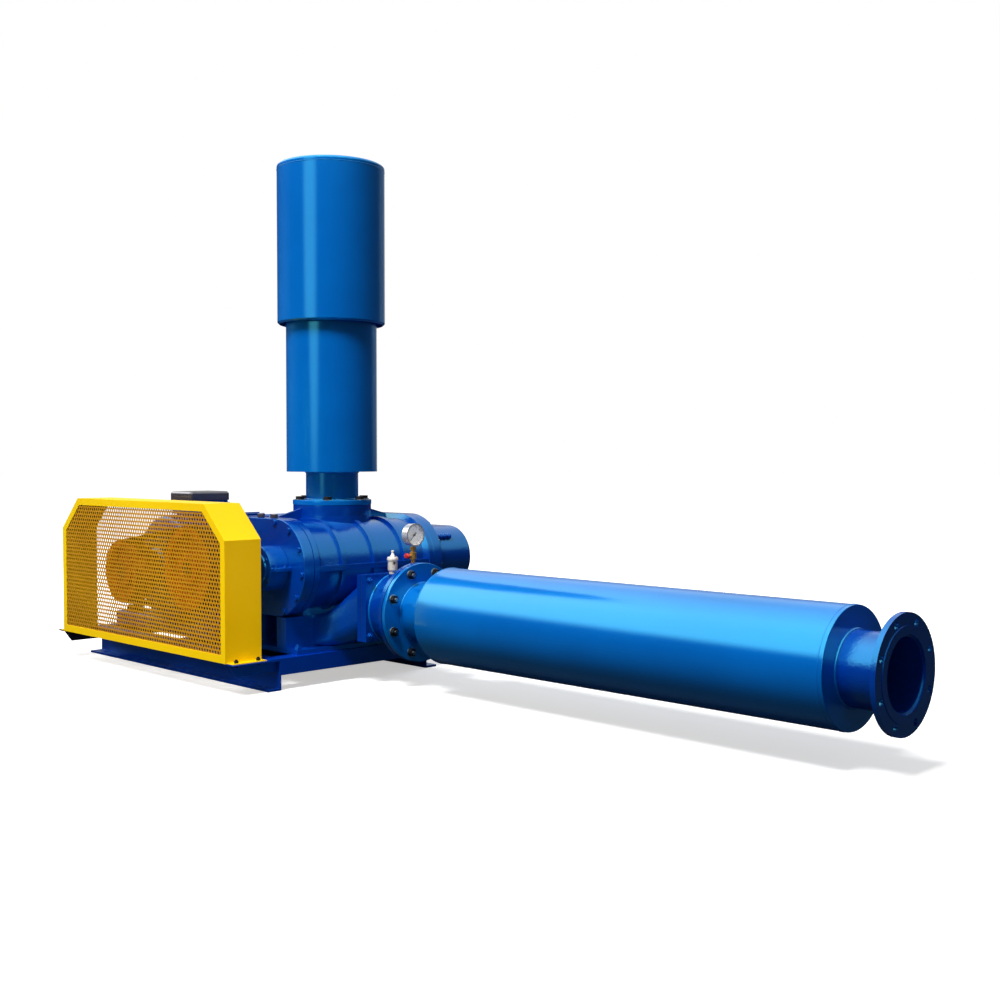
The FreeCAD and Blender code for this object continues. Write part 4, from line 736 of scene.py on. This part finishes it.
intake = {"x": 0.4405, "y": 0.072, "flangeTop": 0.701, "boltCircle": 0.140, "bolts": 6, "firstBolt": -45}
intakeBolts = {"corner": 0.019, "height": 0.012, "washer": 0.0025, "tip": 0}
boltSet("intakeFlange", circleOn("z", (intake["x"], intake["y"], intake["flangeTop"]), intake["bolts"],
                                 intake["boltCircle"], intake["firstBolt"]), "+z", intakeBolts, darkBolts)

housing = {"drive": 0.3405, "driven": 0.5405, "z": 0.447, "front": -0.363, "capCircle": 0.075, "capBolts": 6,
           "firstBolt": 30, "splitTop": 0.455, "splitRows": (-0.343, -0.302), "reach": 0.097}
capBolts = {"corner": 0.0065, "height": 0.006, "washer": 0.0012, "tip": 0}
boltSet("housingCap", [place for x in (housing["drive"], housing["driven"])
                       for place in circleOn("y", (x, housing["front"], housing["z"]), housing["capBolts"],
                                             housing["capCircle"], housing["firstBolt"])],
        "-y", capBolts, paintedBolts)
splitBolts = {"corner": 0.009, "height": 0.008, "washer": 0.002, "tip": 0.003, "tipRadius": 0.005}
splitColumns = (housing["drive"] - housing["reach"], intake["x"], housing["driven"] + housing["reach"])
boltSet("housingSplit", [(x, y, housing["splitTop"]) for x in splitColumns for y in housing["splitRows"]],
        "+z", splitBolts, paintedBolts)

# Six of a circle of ten on the gear case's left, and the same six mirrored
gearCase = {"flangeFace": 0.439, "reach": 0.145, "circle": 10, "used": 6, "firstBolt": 90}
gearBolts = {"corner": 0.0075, "height": 0.006, "washer": 0.0012, "tip": 0}
gearSeats = circleOn("y", (housing["drive"], gearCase["flangeFace"], housing["z"]), gearCase["circle"],
                     gearCase["reach"], gearCase["firstBolt"])[:gearCase["used"]]
gearSeats += [(2 * intake["x"] - x, y, z) for x, y, z in gearSeats]
boltSet("gearCase", gearSeats, "+y", gearBolts, paintedBolts)
print("bolts seated")


# Weld beads round the pipes and shells: place along the axis, radius, thickness

beadShape = {"around": 120, "across": 8, "smoothAngle": 60}


def weldRing(radius, axis, centre, thick):
    clearSelection()
    bpy.ops.mesh.primitive_torus_add(major_radius=radius, minor_radius=thick, location=(0, 0, 0),
                                     major_segments=beadShape["around"], minor_segments=beadShape["across"])
    piece = bpy.context.object
    piece.rotation_euler = axisTurn(axis)
    piece.location = centre
    settle(piece)
    softenEdges(piece, 0, angle=beadShape["smoothAngle"])
    return piece


lyingBeads = ((0.8480, 0.1385, 0.0045), (0.9605, 0.1385, 0.0040), (1.0015, 0.1135, 0.0040),
              (1.1495, 0.1135, 0.0040), (1.1560, 0.1778, 0.0020), (2.7970, 0.1779, 0.0018),
              (2.8130, 0.1100, 0.0045), (2.9465, 0.1100, 0.0045))
standingBeads = ((0.7020, 0.1070, 0.0040), (0.8135, 0.1070, 0.0040), (2.0350, 0.2172, 0.0018))
beads = [weldRing(radius, "x", (x, pipe["y"], pipe["z"]), thick) for x, radius, thick in lyingBeads]
beads += [weldRing(radius, "z", (intake["x"], intake["y"], z), thick) for z, radius, thick in standingBeads]
dress(joinPieces("weldBeads", beads), finish["sheetBlue"], "root", "blue_paint")
print("welds laid")


# Outlet neck with a raised face and eight through holes

outlet = {"start": 2.798, "back": 2.9475, "step": 2.9635, "face": 2.9655, "pipeEnd": 2.9585, "bore": 0.1035,
          "pipe": 0.1095, "flange": 0.170, "raised": 0.134, "boltCircle": 0.1475, "hole": 0.011,
          "holeSides": 32, "drillFrom": -0.02, "drillTo": 0.05, "edge": 0.001}
outletOutline = (("bore", "start"), ("pipe", "start"), ("pipe", "back"), ("flange", "back"),
                 ("flange", "step"), ("raised", "step"), ("raised", "face"), ("pipe", "face"),
                 ("pipe", "pipeEnd"), ("bore", "pipeEnd"), ("bore", "start"))
neck = ringStack("outletNeck", [(outlet[radius], outlet[place]) for radius, place in outletOutline],
                 "x", (0, pipe["y"], pipe["z"]), closed=True, width=0)
drill = drum("drill", outlet["hole"], outlet["drillFrom"], outlet["drillTo"], outlet["holeSides"], 0)
holes = circleOn("x", (outlet["back"], pipe["y"], pipe["z"]), pipe["bolts"], outlet["boltCircle"],
                 pipe["firstBolt"])
cutAway(neck, copiesAt("drill", drill, seats(holes, "+x")))
softenEdges(neck, outlet["edge"])
# The neck takes the deeper cast blue, as painted shade matching its shaded flange face
dress(neck, finish["castBlue"], bodyOf("outlet_neck"), nodeSlot["outlet_neck"], "outlet_neck")
print("outlet neck drilled")


# Perforated sheet of the guard: one cell, repeated and trimmed to the guard's shape

guard = {"left": -0.6155, "right": 0.6565, "low": 0.120, "top": 0.700, "run": 0.140, "drop": 0.131,
         "face": -0.5785, "inset": 0.017, "foot": 0.132, "pitch": 0.018, "hole": 0.006, "holeSides": 12,
         "sheet": 0.0015, "columns": 72, "rows": 20, "startBelow": 0.01, "merge": 0.00005}


# A round hole in a six-cornered cell: the outer ring's corners are pulled out from its flats
def makeCell():
    clearSelection()
    bpy.ops.mesh.primitive_circle_add(vertices=guard["holeSides"], radius=guard["hole"], location=(0, 0, 0))
    piece = bpy.context.object
    piece.name = "guardMesh"
    bpy.ops.object.mode_set(mode="EDIT")
    bpy.ops.mesh.select_all(action="SELECT")
    bpy.ops.mesh.extrude_edges_move()
    apothem = guard["pitch"] / 2
    ratio = apothem / guard["hole"]
    bpy.ops.transform.resize(value=(ratio, ratio, 1), center_override=(0, 0, 0))
    bpy.ops.object.mode_set(mode="OBJECT")
    for vertex in piece.data.vertices:  # a corner stands at 30 degrees and every 60 from there
        angle = math.degrees(math.atan2(vertex.co.y, vertex.co.x)) % 60
        vertex.select = math.hypot(vertex.co.x, vertex.co.y) > apothem * 0.99 and abs(angle - 30) < 1
    for edge in piece.data.edges:
        edge.select = False
    for face in piece.data.polygons:
        face.select = False
    bpy.ops.object.mode_set(mode="EDIT")
    stretch = 1 / math.cos(math.radians(30))
    bpy.ops.transform.resize(value=(stretch, stretch, 1), center_override=(0, 0, 0))
    bpy.ops.object.mode_set(mode="OBJECT")
    piece.rotation_euler = (math.radians(90), 0, 0)
    settle(piece)
    return piece


def repeat(piece, count, step, **joining):
    applyModifier(piece, "ARRAY", count=count, use_relative_offset=False, use_constant_offset=True,
                  constant_offset_displace=step, **joining)


sheet = makeCell()
pitch = guard["pitch"]
rise = pitch * math.sin(math.radians(60))
merged = {"use_merge_vertices": True, "merge_threshold": guard["merge"]}
repeat(sheet, 2, (pitch / 2, 0, rise))
repeat(sheet, guard["columns"], (pitch, 0, 0), **merged)
repeat(sheet, guard["rows"], (0, 0, 2 * rise), **merged)
sheet.location = ((guard["left"] + guard["right"]) / 2 - guard["columns"] * pitch / 2, guard["face"],
                  guard["low"] - guard["startBelow"])
settle(sheet)
slope = math.hypot(guard["run"], guard["drop"])
slantX, slantZ = guard["drop"] / slope, guard["run"] / slope
inner = guard["inset"]
trimmed(sheet, (guard["left"] + inner, 0, 0), (-1, 0, 0))
trimmed(sheet, (guard["right"] - inner, 0, 0), (1, 0, 0))
trimmed(sheet, (0, 0, guard["foot"]), (0, 0, -1))
trimmed(sheet, (0, 0, guard["top"] - inner), (0, 0, 1))
for side, corner in ((-1, guard["left"] + guard["run"]), (1, guard["right"] - guard["run"])):
    trimmed(sheet, (corner - side * slantX * inner, 0, guard["top"] - slantZ * inner),
            (side * slantX, 0, slantZ))
applyModifier(sheet, "SOLIDIFY", thickness=guard["sheet"], offset=1.0)
faceOutwards(sheet)
# The sheet takes the darkened yellow, a painted shade
dress(sheet, finish["meshYellowPaintedShade"], bodyOf("guard_mesh"), nodeSlot["guard_mesh"], "guard_mesh")
print("guard sheet perforated")


# Turned boss under the intake flange and the ribbed vent on the gear case

boss = {"low": 0.600, "shoulder": 0.640, "top": 0.684, "lowRadius": 0.148, "topRadius": 0.1585,
        "edge": 0.003}
bossRings = [(boss["lowRadius"], boss["low"]), (boss["topRadius"], boss["shoulder"]),
             (boss["topRadius"], boss["top"])]
dress(ringStack("intakeBoss", bossRings, "z", (intake["x"], intake["y"], 0), width=boss["edge"]),
      finish["castBlue"], "root", "blue_paint")

vent = {"x": 0.641, "z": 0.538, "start": 0.462, "pitch": 0.022, "rib": 0.0130, "root": 0.0075, "ribs": 4,
        "flankEnd": 0.004, "ribEnd": 0.013, "gapStart": 0.014, "sides": 32, "edge": 0.0006}
ventRings = []
for k in range(vent["ribs"]):
    low = vent["start"] + k * vent["pitch"]
    ventRings += [(vent["root"], low), (vent["rib"], low + vent["flankEnd"]),
                  (vent["rib"], low + vent["ribEnd"]), (vent["root"], low + vent["gapStart"])]
dress(ringStack("gearVent", ventRings, "y", (vent["x"], 0, vent["z"]), segments=vent["sides"],
                width=vent["edge"]), finish["baseBlue"], "root", "blue_paint")


# Relief valve: a cup with a window, and its lifting stem with a tapered tip

valve = {"x": 0.896, "y": 0.011, "window": 0.0055, "windowZ": 0.468, "windowTurn": -20, "windowReach": 0.03,
         "windowSides": 24, "cupSides": 64, "cupEdge": 0.0008, "stemSides": 40, "stemEdge": 0.0006,
         "cup": [(0.0070, 0.427), (0.0140, 0.427), (0.0140, 0.437), (0.0185, 0.442), (0.0185, 0.478),
                 (0.0215, 0.4795), (0.0215, 0.4870), (0.0190, 0.4920), (0.0062, 0.4920), (0.0062, 0.4860),
                 (0.0160, 0.4840), (0.0160, 0.4550), (0.0070, 0.4480), (0.0070, 0.427)],
         "stem": [(0.0130, 0.4553), (0.0130, 0.4613), (0.0050, 0.4613), (0.0050, 0.4925), (0.0100, 0.4925),
                  (0.0090, 0.4965), (0.0048, 0.5040), (0.0042, 0.5080), (0.0058, 0.5105), (0.0058, 0.5145),
                  (0.0030, 0.5170)]}
valveFoot = (valve["x"], valve["y"], 0)
cup = ringStack("valveBody", valve["cup"], "z", valveFoot, segments=valve["cupSides"], closed=True, width=0)
window = drum("window", valve["window"], 0, valve["windowReach"], valve["windowSides"], 0)
windowPlace = Matrix.Translation((valve["x"], valve["y"], valve["windowZ"]))
windowTurn = Matrix.Rotation(math.radians(valve["windowTurn"]), 4, "Z")
cutAway(cup, copiesAt("window", window, [windowPlace @ windowTurn @ aimed["+x"]]))
softenEdges(cup, valve["cupEdge"])
stem = ringStack("valveStem", valve["stem"], "z", valveFoot, segments=valve["stemSides"],
                 width=valve["stemEdge"])
for piece, node in ((cup, "relief_valve_body"), (stem, "relief_valve_stem")):
    dress(piece, finish["valveNickel"], bodyOf(node), nodeSlot[node], node)

# The closing spring, which the lifted disc presses together
spring = {"wire": 0.0011, "coil": 0.0086, "start": 0.4627, "top": 0.4838, "turns": 5, "pitch": 0.004,
          "steps": 32, "wireSides": 10, "smoothAngle": 60, "lift": 0.006}
clearSelection()
bpy.ops.mesh.primitive_circle_add(vertices=spring["wireSides"], radius=spring["wire"],
                                  location=(spring["coil"], 0, 0), rotation=(math.radians(90), 0, 0))
coil = bpy.context.object
coil.name = "valveSpring"
settle(coil)
applyModifier(coil, "SCREW", axis="Z", angle=math.radians(360), steps=spring["steps"],
              render_steps=spring["steps"], iterations=spring["turns"], screw_offset=spring["pitch"])
activate(coil)
bpy.ops.object.mode_set(mode="EDIT")
bpy.ops.mesh.select_all(action="SELECT")
bpy.ops.mesh.fill_holes(sides=0)
bpy.ops.object.mode_set(mode="OBJECT")
coil.location = (valve["x"], valve["y"], spring["start"])
settle(coil)
faceOutwards(coil)
softenEdges(coil, 0, angle=spring["smoothAngle"])
dress(coil, finish["turnedSteel"], "root", nodeSlot["relief_spring"], "relief_spring")
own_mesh(coil)


# Handle of the gauge cock: a rounded red knob on its hub

knob = {"x": 0.944, "y": 0.0425, "z": 0.496, "halfWidth": 0.0165, "halfDepth": 0.0075, "halfHeight": 0.0105,
        "sides": 32, "rings": 16, "hubRadius": 0.0080, "hubStart": 0.0357, "hubEnd": 0.0497, "edge": 0.001,
        "smoothAngle": 40}
clearSelection()
bpy.ops.mesh.primitive_uv_sphere_add(segments=knob["sides"], ring_count=knob["rings"], radius=1,
                                     location=(0, 0, 0))
handle = bpy.context.object
handle.scale = (knob["halfWidth"], knob["halfDepth"], knob["halfHeight"])
handle.location = (knob["x"], knob["y"], knob["z"])
settle(handle)
hub = ringStack("hub", [(knob["hubRadius"], knob["hubStart"]), (knob["hubRadius"], knob["hubEnd"])],
                "y", (knob["x"], 0, knob["z"]), segments=knob["sides"], width=knob["edge"])
handle = joinPieces("cockHandle", [handle, hub])
softenEdges(handle, 0, angle=knob["smoothAngle"])
dress(handle, finish["redHandle"], bodyOf("cock_handle"), nodeSlot["cock_handle"], "cock_handle")
print("small fittings turned")


# Gauge: scale marks and numbers

gauge = {"x": 0.9506, "y": 0.072, "z": 0.576, "sweep": 270, "marks": 41, "reach": 0.0355, "flat": 0.0002,
         "long": 0.0065, "thick": 0.0009, "short": 0.004, "thin": 0.0005,
         "numbers": range(0, 11, 2), "lastNumber": 10, "numberReach": 0.0235, "numberSize": 0.0065,
         "numberDepth": 0.0001}


def gaugeMark(share, length, width):
    clearSelection()
    bpy.ops.mesh.primitive_cube_add(size=1, location=(0, 0, 0))
    mark = bpy.context.object
    mark.scale = (gauge["flat"], width, length)
    mark.location = (0, 0, gauge["reach"] - length / 2)
    settle(mark)
    mark.rotation_euler = (math.radians(gauge["sweep"] / 2 - gauge["sweep"] * share), 0, 0)
    mark.location = (gauge["x"], gauge["y"], gauge["z"])
    settle(mark)
    return mark


def gaugeNumber(number):
    angle = math.radians(gauge["sweep"] * number / gauge["lastNumber"] - gauge["sweep"] / 2)
    bpy.ops.object.text_add(location=(0, 0, 0))
    label = bpy.context.object
    label.data.body = str(number)
    label.data.size = gauge["numberSize"]
    label.data.align_x = "CENTER"
    label.data.align_y = "CENTER"
    label.data.extrude = gauge["numberDepth"]
    label.data.resolution_u = 3
    activate(label)
    bpy.ops.object.convert(target="MESH")
    label = bpy.context.object
    label.rotation_euler = (math.radians(90), 0, math.radians(90))
    label.location = (gauge["x"], gauge["y"] + gauge["numberReach"] * math.sin(angle),
                      gauge["z"] + gauge["numberReach"] * math.cos(angle))
    settle(label)
    return label


scale = []
for k in range(gauge["marks"]):  # every fourth mark is long
    length, width = (gauge["short"], gauge["thin"]) if k % 4 else (gauge["long"], gauge["thick"])
    scale.append(gaugeMark(k / (gauge["marks"] - 1), length, width))
scale += [gaugeNumber(number) for number in gauge["numbers"]]
dress(joinPieces("gaugeScale", scale), finish["pointerBlack"], "root", "needle_black")
print("gauge marked")
